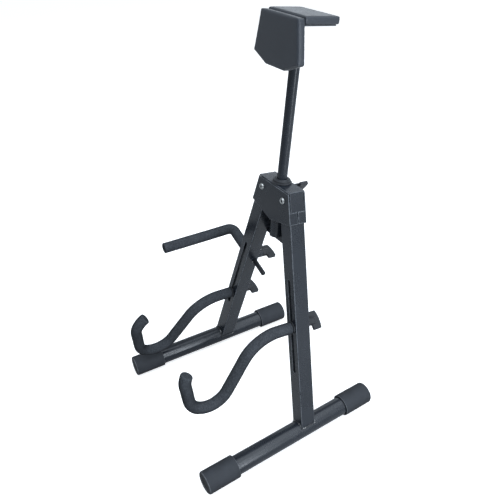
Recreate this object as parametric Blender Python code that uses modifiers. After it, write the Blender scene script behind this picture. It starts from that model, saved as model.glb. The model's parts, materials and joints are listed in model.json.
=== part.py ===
"""Folding stand for a guitar: a head with two hinged legs, each welded to a floor tube, a sliding mast
with a padded rest, two padded hooks that clamp in slots in the legs, and one padded side arm.

Metres, +Z up. The origin is on the floor, midway between the two floor tubes and midway along them.
-Y is the front, where the hooks are, and +X is the right leg. The legs, the head and the mast lie in
one plane that leans back by LEAN.
"""
import math

import bmesh
import bpy
from mathutils import Matrix, Vector

# Floor tubes and their rubber caps
FOOT_TUBE_R = 0.015
FOOT_TUBE_WALL = 0.0015
FOOT_FRONT = 0.186
FOOT_REAR = 0.131
CAP_WALL = 0.003
CAP_LENGTH = 0.054
CAP_END = 0.006
CAP_EDGE = 0.002
CAP_MOUTH_EDGE = 0.001
CAP_DISH_R = 0.0112
CAP_DISH = 0.0012
CAP_FLAT = 0.0005

# Legs: square tubes with a long slot front and back
LEG_SIDE = 0.0254
LEG_WALL = 0.0012
LEG_CORNER_R = 0.0016
LEG_INNER_R = 0.0005
LEG_LENGTH = 0.377
LEAN = math.radians(7.0)
SPLAY = math.radians(16.7)
SLOT_LOW = 0.101
SLOT_HIGH = 0.256
SLOT_WIDTH = 0.0066
TOP_ARC_START = math.radians(5)

# Head: sheet metal box over the leg tops
SHEET = 0.0018
HEAD_ABOVE_PIVOT = 0.016
PIVOT_HALF_SPACING = 0.0278
PLATE_GAP = 0.0003
PLATE_SEAM = 0.0006
TAB_GAP = 0.0004
TAB_LENGTH = 0.029
TAB_HALF_DEPTH = 0.0122
TAB_SEAM = 0.001
FLANGE_SPLIT = 0.0009
PLATE_LOW = 0.030
CHEVRON_DROP = 0.013
BACK_TONGUE_HALF = 0.045
BACK_TONGUE_TOP = 0.033
BACK_TONGUE_LOW = 0.091

# Pivot bolts
BOLT_R = 0.003
BOLT_CLEARANCE = 0.0003
BOLT_HEAD_R = 0.005
BOLT_HEAD_H = 0.0032
BOLT_RECESS_R = 0.0016
BOLT_RECESS = 0.0012

# Mast, its guide and collar
MAST_R = 0.0075
MAST_WALL = 0.0012
MAST_BELOW_PIVOT = 0.071
MAST_TOP = 0.238
SLEEVE_WALL = 0.0022
SLEEVE_BELOW_PIVOT = 0.073
MAST_CLEARANCE = 0.0003
COLLAR_R = 0.013
COLLAR_FLANGE_R = 0.015
COLLAR_H = 0.006
COLLAR_FLANGE_H = 0.0012
COLLAR_EDGE = 0.001
PLUG_DEPTH = 0.006
PLUG_RIM = 0.002
PLUG_EDGE = 0.001

# Height screw: where it stands, the boss on the mast's guide and the nut behind the back plate
KNOB_ABOVE_PIVOT = 0.002
KNOB_TURN = math.radians(-50)
BOSS_R = 0.006
HEIGHT_NUT_LENGTH = 0.0058

# Knobs: a hub with one flat blade across it
STUD_R = 0.003
THREAD_CLEARANCE = 0.0003
HUB_R = 0.0065
HUB_EDGE = 0.0008
HUB_BELOW_BLADE = 0.0064
NUT_HUB_BELOW_BLADE = 0.0084
HUB_IN_BLADE = 0.007
BLADE_HALF = 0.0148
BLADE_END = 0.0141
BLADE_MIDDLE = 0.016
BLADE_THICK = 0.005
BLADE_CORNER_R = 0.002
BLADE_EDGE = 0.0007
BORE_SPARE = 0.001
CLAMP_NUT_R = 0.0065

# Padded rest at the top of the mast
REST_HALF_WIDTH = 0.0425
REST_LOW_HALF = 0.053
REST_BOTTOM_HALF = 0.0225
REST_SHOULDER = 0.0565
REST_DROP = 0.0685
REST_FRONT = 0.0222
REST_BACK = 0.0315
TOP_PAD = 0.010
FRONT_PAD = 0.0113
FRONT_PAD_STEP = 0.002
PAD_EDGE = 0.0018
REST_METAL_INSET = 0.003
FRONT_LEAF_DROP = 0.050

# Hooks: a bent rod with a foam sleeve, which ends a little past the rod. Each is set in its own way: its
# height up the leg, its turn about the stud, the length and curl of its tip, how far it runs sideways
# for each metre forward, and its nut's turn.
ROD_R = 0.003
FOAM_R = 0.0095
FOAM_BORE_GAP = 0.0003
FOAM_TIP = 0.006
FOAM_ROOT_WALL = 0.004
HOOK_OUT = 0.0259
HOOK_KNEE_R = 0.0614
HOOK_KNEE = math.radians(64.5)
HOOK_REACH = 0.0583
HOOK_CRADLE_R = 0.0342
HOOK_CRADLE = math.radians(141.8)
HOOK_CURL_R = 0.0392
RIGHT_HOOK = {"height": 0.1787, "turn": math.radians(-18.7), "tip": 0.0318, "curl": math.radians(33),
              "sideways": 0.0, "nut_turn": math.radians(55)}
LEFT_HOOK = {"height": 0.1283, "turn": math.radians(1.3), "tip": 0.0435, "curl": math.radians(62),
             "sideways": 0.04, "nut_turn": math.radians(-3.5)}
WASHER_R = 0.010
WASHER_THICK = 0.0015
NUT_STUD = 0.012

# Side arm: a thicker rod through the left leg, level in front, clamped by a screw from behind
ARM_ROD_R = 0.004
ARM_FOAM_R = 0.0091
ARM_HEIGHT = 0.2183
ARM_BEHIND = 0.0063
ARM_INNER_END = 0.0453
ARM_OUT = 0.0712
ARM_FORWARD = 0.1316
ARM_BEND_R = 0.0104
ARM_TURN = math.radians(6.8)
ARM_FOAM_GAP = 0.0005
ARM_SCREW_CLEARANCE = 0.0005
ARM_NUT_LENGTH = 0.014
ARM_KNOB_TURN = math.radians(-5)

# Gap between pieces that touch, reach of the cutters, size of the guides
GAP = 0.0003
FAR = 0.1
GUIDE_SIZE = 0.02

# Sides of round pieces, steps along their bends, and the angle above which an edge stays sharp
TUBE_SIDES = 40
MAST_SIDES = 36
SMALL_SIDES = 28
HOLE_SIDES = 24
STUD_SIDES = 20
ROD_SIDES = 8
ARM_ROD_SIDES = 10
FOAM_SIDES = 12
ROUND_STEPS = 3
SLOT_END_STEPS = 8
TOP_ARC_STEPS = 16
BOLT_DOME_STEPS = 4
BLADE_STEPS = 8
KNEE_STEPS = 9
CRADLE_STEPS = 14
CURL_STEPS = 6
ARM_BEND_STEPS = 9
SHARP_ANGLE = math.radians(35)
WELD_DISTANCE = 0.00001

# Derived places
FOOT_AXIS_Z = FOOT_TUBE_R + CAP_WALL - CAP_FLAT
FOOT_MID = (FOOT_FRONT - FOOT_REAR) / 2
TOE = math.asin(math.sin(LEAN) * math.sin(SPLAY))
PLATE_IN = LEG_SIDE / 2 + PLATE_GAP
PLATE_OUT = PLATE_IN + SHEET
TAB_IN = LEG_SIDE / 2 + TAB_GAP
TAB_OUT = TAB_IN + SHEET
SLEEVE_R = MAST_R + MAST_CLEARANCE + SLEEVE_WALL
REST_TOP = MAST_TOP + GAP + SHEET + GAP + TOP_PAD

PARTS = None
CUTTERS = None


def clear_scene():
    for obj in list(bpy.data.objects):
        bpy.data.objects.remove(obj, do_unlink=True)


def new_collection(name):
    coll = bpy.data.collections.new(name)
    bpy.context.scene.collection.children.link(coll)
    return coll


def material(name, color, roughness, metallic):
    """One Principled material for one finish."""
    mat = bpy.data.materials.new(name)
    mat.use_nodes = True
    shader = mat.node_tree.nodes["Principled BSDF"]
    shader.inputs["Base Color"].default_value = (*color, 1.0)
    shader.inputs["Roughness"].default_value = roughness
    shader.inputs["Metallic"].default_value = metallic
    mat.diffuse_color = (*color, 1.0)
    return mat


FINISHES = {
    "paint": ((0.035, 0.040, 0.048), 0.38, 0.3),
    "foam": ((0.045, 0.048, 0.055), 0.9, 0.0),
    "rubber": ((0.040, 0.043, 0.050), 0.75, 0.0),
    "plastic": ((0.030, 0.033, 0.040), 0.5, 0.0),
    "black_steel": ((0.045, 0.048, 0.054), 0.4, 0.6),
    "zinc": ((0.62, 0.63, 0.64), 0.3, 1.0),
}


def empty(name, matrix, parent=None):
    """A guide that holds a joint's place and carries the pieces that move with it."""
    obj = bpy.data.objects.new(name, None)
    obj.empty_display_size = GUIDE_SIZE
    PARTS.objects.link(obj)
    attach(obj, matrix, parent)
    return obj


WORLD = {}


def attach(obj, matrix, parent=None):
    """Puts an object at a world matrix, under a parent whose world matrix is known."""
    WORLD[obj.name] = matrix.copy()
    if parent is not None:
        obj.parent = parent
        obj.matrix_parent_inverse = WORLD[parent.name].inverted()
    obj.matrix_basis = matrix


def finish(obj, finish_name):
    """Gives the object its own material and shading."""
    color, roughness, metallic = FINISHES[finish_name]
    mat = material(obj.name + "_" + finish_name, color, roughness, metallic)
    obj.data.materials.clear()
    obj.data.materials.append(mat)
    obj.data.shade_smooth()
    obj.data.set_sharp_from_angle(angle=SHARP_ANGLE)
    return obj


def mesh_object(name, mesh, coll):
    obj = bpy.data.objects.new(name, mesh)
    coll.objects.link(obj)
    return obj


def settle(obj):
    """Turns an object with modifiers, or a curve, into a plain welded mesh of the same name."""
    bpy.context.view_layer.update()
    graph = bpy.context.evaluated_depsgraph_get()
    shown = obj.evaluated_get(graph)
    mesh = bpy.data.meshes.new_from_object(shown, preserve_all_data_layers=False, depsgraph=graph)
    shape = bmesh.new()
    shape.from_mesh(mesh)
    bmesh.ops.remove_doubles(shape, verts=shape.verts, dist=WELD_DISTANCE)
    bmesh.ops.recalc_face_normals(shape, faces=shape.faces)
    shape.to_mesh(mesh)
    shape.free()
    name = obj.name
    coll = obj.users_collection[0]
    bpy.data.objects.remove(obj, do_unlink=True)
    mesh.name = name
    return mesh_object(name, mesh, coll)


def box(name, low, high):
    mesh = bpy.data.meshes.new(name)
    shape = bmesh.new()
    size = Vector(high) - Vector(low)
    middle = (Vector(high) + Vector(low)) / 2
    place = Matrix.Translation(middle) @ Matrix.Diagonal((*size, 1.0))
    bmesh.ops.create_cube(shape, size=1.0, matrix=place)
    shape.to_mesh(mesh)
    shape.free()
    return mesh_object(name, mesh, PARTS)


def rod_between(name, radius, low, high, axis, sides):
    """A solid cylinder along one local axis from low to high."""
    turns = {"X": Matrix.Rotation(math.pi / 2, 4, "Y"), "Y": Matrix.Rotation(-math.pi / 2, 4, "X"),
             "Z": Matrix.Identity(4)}
    mesh = bpy.data.meshes.new(name)
    shape = bmesh.new()
    place = turns[axis] @ Matrix.Translation((0, 0, (low + high) / 2))
    bmesh.ops.create_cone(shape, cap_ends=True, segments=sides, radius1=radius, radius2=radius,
                          depth=high - low, matrix=place)
    shape.to_mesh(mesh)
    shape.free()
    return mesh_object(name, mesh, PARTS)


def turned(name, profile, steps, closed=False):
    """A turned shape from (radius, height) points; the outer side runs from top to bottom."""
    mesh = bpy.data.meshes.new(name)
    points = [(radius, 0.0, height) for radius, height in profile]
    count = len(points)
    edges = [(i, i + 1) for i in range(count - 1)]
    if closed:
        edges.append((count - 1, 0))
    mesh.from_pydata(points, edges, [])
    obj = mesh_object(name, mesh, PARTS)
    screw = obj.modifiers.new("turn", "SCREW")
    screw.axis = "Z"
    screw.angle = math.tau
    screw.steps = steps
    screw.render_steps = steps
    screw.use_merge_vertices = True
    screw.merge_threshold = WELD_DISTANCE
    return settle(obj)


def tube(name, outer, inner, low, high, steps):
    """A round tube or ring along local Z from low to high."""
    walls = [(outer, high), (outer, low), (inner, low), (inner, high)]
    return turned(name, walls, steps, closed=True)


def plate(name, outlines, thickness, edge=0.0):
    """A flat sheet with edges rounded by edge, from outlines in XY centred on Z; later ones are holes."""
    curve = bpy.data.curves.new(name, "CURVE")
    curve.dimensions = "2D"
    curve.fill_mode = "BOTH"
    curve.extrude = thickness / 2 - edge
    curve.bevel_depth = edge
    curve.bevel_resolution = 1
    curve.offset = -edge
    for outline in outlines:
        spline = curve.splines.new("POLY")
        spline.points.add(len(outline) - 1)
        for point, place in zip(spline.points, outline):
            point.co = (place[0], place[1], 0.0, 1.0)
        spline.use_cyclic_u = True
    obj = bpy.data.objects.new(name, curve)
    PARTS.objects.link(obj)
    return settle(obj)


def pipe(name, points, radius, sides):
    """A round bar along a list of points; its number of sides is even."""
    curve = bpy.data.curves.new(name, "CURVE")
    curve.dimensions = "3D"
    curve.bevel_depth = radius
    curve.bevel_resolution = sides // 2 - 2
    curve.use_fill_caps = True
    spline = curve.splines.new("POLY")
    spline.points.add(len(points) - 1)
    for point, place in zip(spline.points, points):
        point.co = (*place, 1.0)
    obj = bpy.data.objects.new(name, curve)
    PARTS.objects.link(obj)
    return settle(obj)


def combine(obj, other, operation):
    """Joins or cuts with a second object, which moves to the cutters and goes once it is applied."""
    step = obj.modifiers.new("shape", "BOOLEAN")
    step.operation = operation
    step.object = other
    step.solver = "EXACT"
    for coll in list(other.users_collection):
        coll.objects.unlink(other)
    CUTTERS.objects.link(other)
    other.hide_render = True
    other.display_type = "WIRE"
    result = settle(obj)
    bpy.data.objects.remove(other, do_unlink=True)
    return result


def cut(obj, *others):
    for other in others:
        obj = combine(obj, other, "DIFFERENCE")
    return obj


def join(obj, *others):
    for other in others:
        obj = combine(obj, other, "UNION")
    return obj


def shift(obj, matrix):
    """Moves the mesh itself."""
    obj.data.transform(matrix)
    return obj


def round_edges(obj, width):
    step = obj.modifiers.new("edges", "BEVEL")
    step.width = width
    step.segments = 2
    step.limit_method = "ANGLE"
    step.angle_limit = SHARP_ANGLE
    return settle(obj)


def upright(obj, y=0.0):
    """Stands a flat piece up, so that its outline's Y runs up, and puts its middle at a depth."""
    return shift(obj, Matrix.Translation((0, y, 0)) @ Matrix.Rotation(math.pi / 2, 4, "X"))


def both_sides(half):
    """A closed outline from its right half, given from top to bottom or back up."""
    return half + [(-x, z) for x, z in reversed(half) if x > 0]


def corner_arc(before, corner, after, radius):
    """Points that round one corner of an outline."""
    before, corner, after = Vector(before), Vector(corner), Vector(after)
    back = (before - corner).normalized()
    onward = (after - corner).normalized()
    half = back.angle(onward) / 2
    centre = corner + (back + onward).normalized() * radius / math.sin(half)
    start = corner + back * radius / math.tan(half) - centre
    end = corner + onward * radius / math.tan(half) - centre
    turn = start.angle_signed(end)
    shares = [k / ROUND_STEPS for k in range(ROUND_STEPS + 1)]
    return [tuple(centre + Matrix.Rotation(-turn * share, 2) @ start) for share in shares]


def rounded_square(side, radius):
    """Outline of a square with round corners."""
    reach = side / 2 - radius
    points = []
    for quarter in range(4):
        corner = (reach * (1 if quarter in (0, 3) else -1), reach * (1 if quarter in (0, 1) else -1))
        for k in range(ROUND_STEPS + 1):
            angle = (quarter + k / ROUND_STEPS) * math.pi / 2
            points.append((corner[0] + radius * math.cos(angle), corner[1] + radius * math.sin(angle)))
    return points


# Turns a piece made along local Z to point to the back of the stand
BACKWARD = Matrix.Rotation(-math.pi / 2, 4, "X")


# Frames: the leaned head and the two legs

def head_matrix():
    """World place of the head: X across, Y square to the legs' plane and backward, Z up the mast."""
    drop = math.cos(SPLAY) * LEG_LENGTH
    lean = Matrix.Rotation(-LEAN, 4, "X")
    top = Vector((0, FOOT_MID, FOOT_AXIS_Z)) + lean @ Vector((0, 0, drop))
    return Matrix.Translation(top) @ lean


def leg_matrix(side):
    """World place of a leg's pivot, Z up along the leg; side is 1 for the right and -1 for the left."""
    pivot = Vector((side * PIVOT_HALF_SPACING, 0, 0))
    return head_matrix() @ Matrix.Translation(pivot) @ Matrix.Rotation(-side * SPLAY, 4, "Y")


def hook_stud_matrix(side, sizes):
    """World place of a hook's stud in its slot."""
    return leg_matrix(side) @ Matrix.Translation((0, 0, sizes["height"] - LEG_LENGTH))


def arm_matrix():
    """World place in the left leg at the height of the side arm."""
    return leg_matrix(-1) @ Matrix.Translation((0, 0, ARM_HEIGHT - LEG_LENGTH))


def foot_matrix(side):
    """World place of a floor tube where its leg stands, with Z along the tube towards the front."""
    foot = leg_matrix(side) @ Vector((0, 0, -LEG_LENGTH))
    turn = Matrix.Rotation(side * TOE, 4, "Z") @ Matrix.Rotation(math.pi / 2, 4, "X")
    return Matrix.Translation((foot.x, foot.y, FOOT_AXIS_Z)) @ turn


def make_foot(side, word, parent):
    place = foot_matrix(side)
    tube_front = FOOT_FRONT - CAP_END - GAP
    tube_rear = -(FOOT_REAR - CAP_END - GAP)
    rail = tube(word + "_foot_tube", FOOT_TUBE_R, FOOT_TUBE_R - FOOT_TUBE_WALL, tube_rear, tube_front,
                TUBE_SIDES)
    attach(finish(rail, "paint"), place, parent)
    outer = FOOT_TUBE_R + CAP_WALL
    bore = FOOT_TUBE_R + GAP
    for end, end_word in ((1, "front"), (-1, "rear")):
        reach = FOOT_FRONT if end > 0 else FOOT_REAR
        mouth = reach - CAP_LENGTH
        floor = reach - CAP_END
        # Middle of the end's round edge, which is drawn with two chamfers
        trim = CAP_EDGE * (1 - math.sqrt(0.5))
        dish = reach - CAP_DISH
        profile = [(0, dish), (CAP_DISH_R, dish), (CAP_DISH_R + CAP_DISH / 2, reach),
                   (outer - CAP_EDGE, reach), (outer - trim, reach - trim), (outer, reach - CAP_EDGE),
                   (outer, mouth + CAP_MOUTH_EDGE), (outer - CAP_MOUTH_EDGE, mouth), (bore, mouth),
                   (bore, floor), (0, floor)]
        cap = turned("_".join((word, end_word, "cap")), profile, TUBE_SIDES)
        if end < 0:
            shift(cap, Matrix.Rotation(math.pi, 4, "Y"))
        # The rubber is pressed flat where it stands on the floor; local -Y is down
        low = box("floor_cut", (-FAR, -FAR, -2 * reach), (FAR, -(outer - CAP_FLAT), 2 * reach))
        attach(finish(cut(cap, low), "rubber"), place, parent)


def make_leg(side, word, parent):
    """The square tube, its slot, pivot holes and the saddle that stands on the floor tube."""
    place = leg_matrix(side)
    name = word + "_leg"
    outline = rounded_square(LEG_SIDE, LEG_CORNER_R)
    hollow = rounded_square(LEG_SIDE - 2 * LEG_WALL, LEG_INNER_R)
    length = LEG_LENGTH + LEG_SIDE
    leg = plate(name, [outline, hollow], length)
    shift(leg, Matrix.Translation((0, 0, LEG_SIDE - length / 2)))
    # The top end is rounded about the pivot, so that it turns freely inside the head
    turn = (math.pi - 2 * TOP_ARC_START) / TOP_ARC_STEPS
    arc = [TOP_ARC_START + k * turn for k in range(TOP_ARC_STEPS + 1)]
    dome = [(LEG_SIDE / 2 * math.cos(angle), LEG_SIDE / 2 * math.sin(angle)) for angle in arc]
    kept = [(LEG_SIDE, -2 * length), (LEG_SIDE, 0)] + dome + [(-LEG_SIDE, 0), (-LEG_SIDE, -2 * length)]
    leg = combine(leg, upright(plate("kept", [kept], 2 * LEG_SIDE)), "INTERSECT")
    reach = LEG_SIDE
    slot_centre = (SLOT_LOW + SLOT_HIGH) / 2 - LEG_LENGTH
    half = (SLOT_HIGH - SLOT_LOW) / 2 - SLOT_WIDTH / 2
    slot = []
    for end in (1, -1):
        for k in range(SLOT_END_STEPS + 1):
            angle = (0 if end > 0 else math.pi) + k / SLOT_END_STEPS * math.pi
            slot.append((SLOT_WIDTH / 2 * math.cos(angle), end * half + SLOT_WIDTH / 2 * math.sin(angle)))
    slot_cut = plate("slot_cut", [slot], 2 * reach)
    shift(slot_cut, Matrix.Translation((0, 0, slot_centre)) @ Matrix.Rotation(math.pi / 2, 4, "X"))
    pin_cut = rod_between("pin_cut", BOLT_R + BOLT_CLEARANCE, -reach, reach, "Y", HOLE_SIDES)
    saddle = rod_between("saddle", FOOT_TUBE_R + GAP, -FAR, FAR, "Z", TUBE_SIDES)
    shift(saddle, place.inverted() @ foot_matrix(side))
    leg = cut(leg, slot_cut, pin_cut, saddle)
    if side < 0:
        arm_cut = rod_between("arm_cut", ARM_ROD_R + GAP, -reach, reach, "X", HOLE_SIDES)
        shift(arm_cut, Matrix.Translation((0, ARM_BEHIND, ARM_HEIGHT - LEG_LENGTH)))
        screw_cut = rod_between("screw_cut", STUD_R + ARM_SCREW_CLEARANCE, 0, reach, "Y", HOLE_SIDES)
        shift(screw_cut, Matrix.Translation((0, 0, ARM_HEIGHT - LEG_LENGTH)))
        leg = cut(leg, arm_cut, screw_cut)
    attach(finish(leg, "paint"), place, parent)


def side_line(height, outward):
    """X of a line parallel to the open leg, outward from its middle, at a height above the pivots."""
    return PIVOT_HALF_SPACING + (outward - height * math.sin(SPLAY)) / math.cos(SPLAY)


def make_head(parent):
    place = head_matrix()
    top = HEAD_ABOVE_PIVOT
    under = top - SHEET
    tab_low = top - TAB_LENGTH * math.cos(SPLAY)
    # Top sheet over both plates, bent down into a narrower tab on each side
    half = [(side_line(tab_low, TAB_IN), tab_low), (side_line(tab_low, TAB_OUT), tab_low),
            (side_line(top, TAB_OUT), top)]
    inner = [(side_line(under, TAB_IN), under)]
    left = [(-x, z) for x, z in reversed(inner + half)]
    cap = upright(plate("head_top", [inner + half + left], 2 * PLATE_OUT))
    for face in (-1, 1):
        near, far = sorted((face * TAB_HALF_DEPTH, face * FAR))
        cap = cut(cap, box("tab_cut", (-FAR, near, -FAR), (FAR, far, under - GAP)))
    mast_hole = rod_between("mast_hole", MAST_R + MAST_CLEARANCE, 0, FAR, "Z", MAST_SIDES)
    attach(finish(cut(cap, mast_hole), "paint"), place, parent)

    for face, word in ((-1, "front"), (1, "back")):
        low = -PLATE_LOW
        plate_top = under - PLATE_SEAM
        right = [(side_line(plate_top, TAB_OUT), plate_top), (side_line(low, TAB_OUT), low)]
        if face < 0:
            right.append((0.0, low - CHEVRON_DROP))
        else:
            right += [(BACK_TONGUE_HALF, -BACK_TONGUE_TOP), (BACK_TONGUE_HALF, -BACK_TONGUE_LOW)]
        sheet = plate("head_%s_plate" % word, [both_sides(right)], PLATE_OUT - FLANGE_SPLIT)
        upright(sheet, face * (PLATE_OUT + FLANGE_SPLIT) / 2)
        # Hollow it out, leaving the sheet and a side flange below each tab
        flange_top = tab_low - TAB_SEAM
        flange_low = low + GAP
        rise = (FAR - side_line(flange_low, TAB_IN)) * math.tan(SPLAY)
        right = [(FAR, -FAR), (FAR, flange_low + rise), (side_line(flange_low, TAB_IN), flange_low),
                 (side_line(flange_top, TAB_IN), flange_top), (FAR, flange_top + rise),
                 (FAR, 2 * top + rise)]
        hollow = plate("hollow", [both_sides(right)], 2 * PLATE_OUT)
        sheet = cut(sheet, upright(hollow, face * (PLATE_IN - PLATE_OUT)))
        for s in (1, -1):
            bolt_hole = rod_between("bolt_hole", BOLT_R + BOLT_CLEARANCE, -FAR, FAR, "Y", HOLE_SIDES)
            sheet = cut(sheet, shift(bolt_hole, Matrix.Translation((s * PIVOT_HALF_SPACING, 0, 0))))
        if face > 0:
            stem_hole = rod_between("stem_hole", STUD_R + THREAD_CLEARANCE, -FAR, FAR, "Y", HOLE_SIDES)
            sheet = cut(sheet, shift(stem_hole, Matrix.Translation((0, 0, KNOB_ABOVE_PIVOT))))
        attach(finish(sheet, "paint"), place, parent)

    # Pivot bolts through both plates and both walls of each leg
    for s, word in ((1, "right"), (-1, "left")):
        reach = PLATE_OUT + GAP
        # The head is a low dome with a small recess in its middle
        brim = math.acos(BOLT_RECESS_R / BOLT_HEAD_R)
        angles = [brim * (1 - k / BOLT_DOME_STEPS) for k in range(BOLT_DOME_STEPS + 1)]
        dome = [(BOLT_HEAD_R * math.cos(angle), reach + BOLT_HEAD_H * math.sin(angle)) for angle in angles]
        recess = dome[0][1] - BOLT_RECESS
        half = [(0, recess), (BOLT_RECESS_R, recess)] + dome + [(BOLT_R, reach)]
        profile = half + [(r, -z) for r, z in reversed(half)]
        bolt = turned(word + "_pivot_bolt", profile, SMALL_SIDES)
        shift(upright(bolt), Matrix.Translation((s * PIVOT_HALF_SPACING, 0, 0)))
        attach(finish(bolt, "zinc"), place, parent)

    # Guide sleeve under the top sheet, with a threaded boss for the height knob
    bore = MAST_R + MAST_CLEARANCE
    sleeve_top = under - GAP
    sleeve = tube("guide_sleeve", SLEEVE_R, bore, -SLEEVE_BELOW_PIVOT, sleeve_top, MAST_SIDES)
    boss = rod_between("boss", BOSS_R, bore + SLEEVE_WALL / 2, PLATE_IN - GAP, "Y", HOLE_SIDES)
    shift(boss, Matrix.Translation((0, 0, KNOB_ABOVE_PIVOT)))
    tapped = rod_between("tapped", STUD_R + THREAD_CLEARANCE, 0.0, FAR, "Y", HOLE_SIDES)
    shift(tapped, Matrix.Translation((0, 0, KNOB_ABOVE_PIVOT)))
    attach(finish(cut(join(sleeve, boss), tapped), "paint"), place, parent)
    nut_place = place @ Matrix.Translation((0, 0, KNOB_ABOVE_PIVOT))
    clamp_nut("height_clamp_nut", PLATE_OUT + GAP, HEIGHT_NUT_LENGTH, nut_place, parent)

    base = top + GAP
    rim = base + COLLAR_H
    ledge = base + COLLAR_FLANGE_H
    profile = [(COLLAR_R - COLLAR_EDGE, rim), (COLLAR_R, rim - COLLAR_EDGE), (COLLAR_R, ledge),
               (COLLAR_FLANGE_R, ledge), (COLLAR_FLANGE_R, base), (bore, base), (bore, rim)]
    collar = turned("mast_collar", profile, MAST_SIDES, closed=True)
    attach(finish(collar, "plastic"), place, parent)


def clamp_nut(name, low, length, place, parent):
    """A round nut behind a wall, for a wing screw; low is its distance behind the place."""
    nut = tube(name, CLAMP_NUT_R, STUD_R + THREAD_CLEARANCE, low, low + length, SMALL_SIDES)
    attach(finish(shift(nut, BACKWARD), "paint"), place, parent)


def knob_head(name, base, below_blade):
    """A knob along local Z: a hub from base up and a flat blade across it with a gently domed edge."""
    foot = base + below_blade
    hub_top = foot + HUB_IN_BLADE
    profile = [(0, hub_top), (HUB_R - HUB_EDGE, hub_top), (HUB_R, hub_top - HUB_EDGE),
               (HUB_R, base + HUB_EDGE), (HUB_R - HUB_EDGE, base), (0, base)]
    hub = turned(name, profile, SMALL_SIDES)
    across = [BLADE_HALF * (1 - 2 * k / BLADE_STEPS) for k in range(BLADE_STEPS + 1)]
    sag = BLADE_MIDDLE - BLADE_END
    dome = [(x, foot + BLADE_MIDDLE - sag * (x / BLADE_HALF) ** 2) for x in across]
    low_right, low_left = (BLADE_HALF, foot), (-BLADE_HALF, foot)
    outline = corner_arc(low_left, low_right, dome[0], BLADE_CORNER_R)
    outline += corner_arc(low_right, dome[0], dome[1], BLADE_CORNER_R) + dome[2:-2]
    outline += corner_arc(dome[-2], dome[-1], low_left, BLADE_CORNER_R)
    outline += corner_arc(dome[-1], low_left, low_right, BLADE_CORNER_R)
    return join(hub, upright(plate("blade", [outline], BLADE_THICK, BLADE_EDGE)))


def nut_knob(name, base, stud_end):
    """A wing nut with a blind bore for a stud."""
    low = base - BORE_SPARE
    high = stud_end + BORE_SPARE
    bore = rod_between("bore", STUD_R + THREAD_CLEARANCE, low, high, "Z", STUD_SIDES)
    return cut(knob_head(name, base, NUT_HUB_BELOW_BLADE), bore)


def screw_knob(name, base, stud_from):
    """A wing screw with its stud."""
    stud = rod_between("stud", STUD_R, stud_from, base + HUB_BELOW_BLADE / 2, "Z", STUD_SIDES)
    return join(knob_head(name, base, HUB_BELOW_BLADE), stud)


def make_mast(parent, knob_parent):
    place = head_matrix()
    inner = MAST_R - MAST_WALL
    mast = tube("mast_tube", MAST_R, inner, -MAST_BELOW_PIVOT, MAST_TOP, MAST_SIDES)
    attach(finish(mast, "paint"), place, parent)
    low = -MAST_BELOW_PIVOT - GAP
    foot = low - PLUG_RIM
    profile = [(0, low + PLUG_DEPTH), (inner - GAP, low + PLUG_DEPTH), (inner - GAP, low), (MAST_R, low),
               (MAST_R, foot + PLUG_EDGE), (MAST_R - PLUG_EDGE, foot), (0, foot)]
    attach(finish(turned("mast_plug", profile, SMALL_SIDES), "plastic"), place, parent)

    # Bent metal bracket on the mast, under the top pad and behind the front pad
    leaf_top = MAST_TOP + GAP + SHEET
    leaf_low = leaf_top - FRONT_LEAF_DROP
    back = REST_BACK - REST_METAL_INSET
    front = -REST_FRONT
    section = [(back, leaf_top), (front, leaf_top), (front, leaf_low), (front + SHEET, leaf_low),
               (front + SHEET, leaf_top - SHEET), (back, leaf_top - SHEET)]
    bracket = plate("rest_bracket", [section], 2 * (REST_HALF_WIDTH - REST_METAL_INSET))
    # The section is drawn with X as depth and Y as height, so it is turned to run across the stand
    shift(bracket, Matrix(((0, 0, 1, 0), (1, 0, 0, 0), (0, 1, 0, 0), (0, 0, 0, 1))))
    attach(finish(bracket, "paint"), place, parent)

    pad_low = leaf_top + GAP
    low_corner = (-REST_HALF_WIDTH, front, pad_low)
    high_corner = (REST_HALF_WIDTH, REST_BACK, pad_low + TOP_PAD)
    top_pad = round_edges(box("top_pad", low_corner, high_corner), PAD_EDGE)
    attach(finish(top_pad, "foam"), place, parent)
    shoulder = REST_TOP - REST_SHOULDER
    right = [(REST_HALF_WIDTH, REST_TOP - FRONT_PAD_STEP), (REST_LOW_HALF, shoulder),
             (REST_BOTTOM_HALF, REST_TOP - REST_DROP)]
    front_pad = upright(plate("front_pad", [both_sides(right)], FRONT_PAD), front - GAP - FRONT_PAD / 2)
    attach(finish(round_edges(front_pad, PAD_EDGE), "foam"), place, parent)

    knob = screw_knob("height_knob", PLATE_OUT + HEIGHT_NUT_LENGTH + 2 * GAP, MAST_R + GAP)
    shift(knob, Matrix.Rotation(KNOB_TURN, 4, "Z"))
    knob_place = place @ Matrix.Translation((0, 0, KNOB_ABOVE_PIVOT)) @ BACKWARD
    attach(finish(knob, "plastic"), knob_place, knob_parent)


def arc_run(points, heading, radius, turn, steps):
    """Adds a bend to a flat route and returns the new heading."""
    length = abs(radius * turn / steps)
    for _ in range(steps):
        heading += turn / steps / 2
        last = points[-1]
        points.append((last[0] + length * math.cos(heading), last[1] + length * math.sin(heading)))
        heading += turn / steps / 2
    return heading


def straight_run(points, heading, length):
    last = points[-1]
    points.append((last[0] + length * math.cos(heading), last[1] + length * math.sin(heading)))


def hook_route(tip, curl):
    """The hook's flat route from the leg's face: forward and down, round the cradle, and up to the tip."""
    points = [(0.0, 0.0)]
    straight_run(points, 0.0, HOOK_OUT)
    heading = arc_run(points, 0.0, HOOK_KNEE_R, HOOK_KNEE, KNEE_STEPS)
    straight_run(points, heading, HOOK_REACH)
    heading = arc_run(points, heading, HOOK_CRADLE_R, -HOOK_CRADLE, CRADLE_STEPS)
    straight_run(points, heading, tip)
    arc_run(points, heading, HOOK_CURL_R, -curl, CURL_STEPS)
    return points


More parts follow.
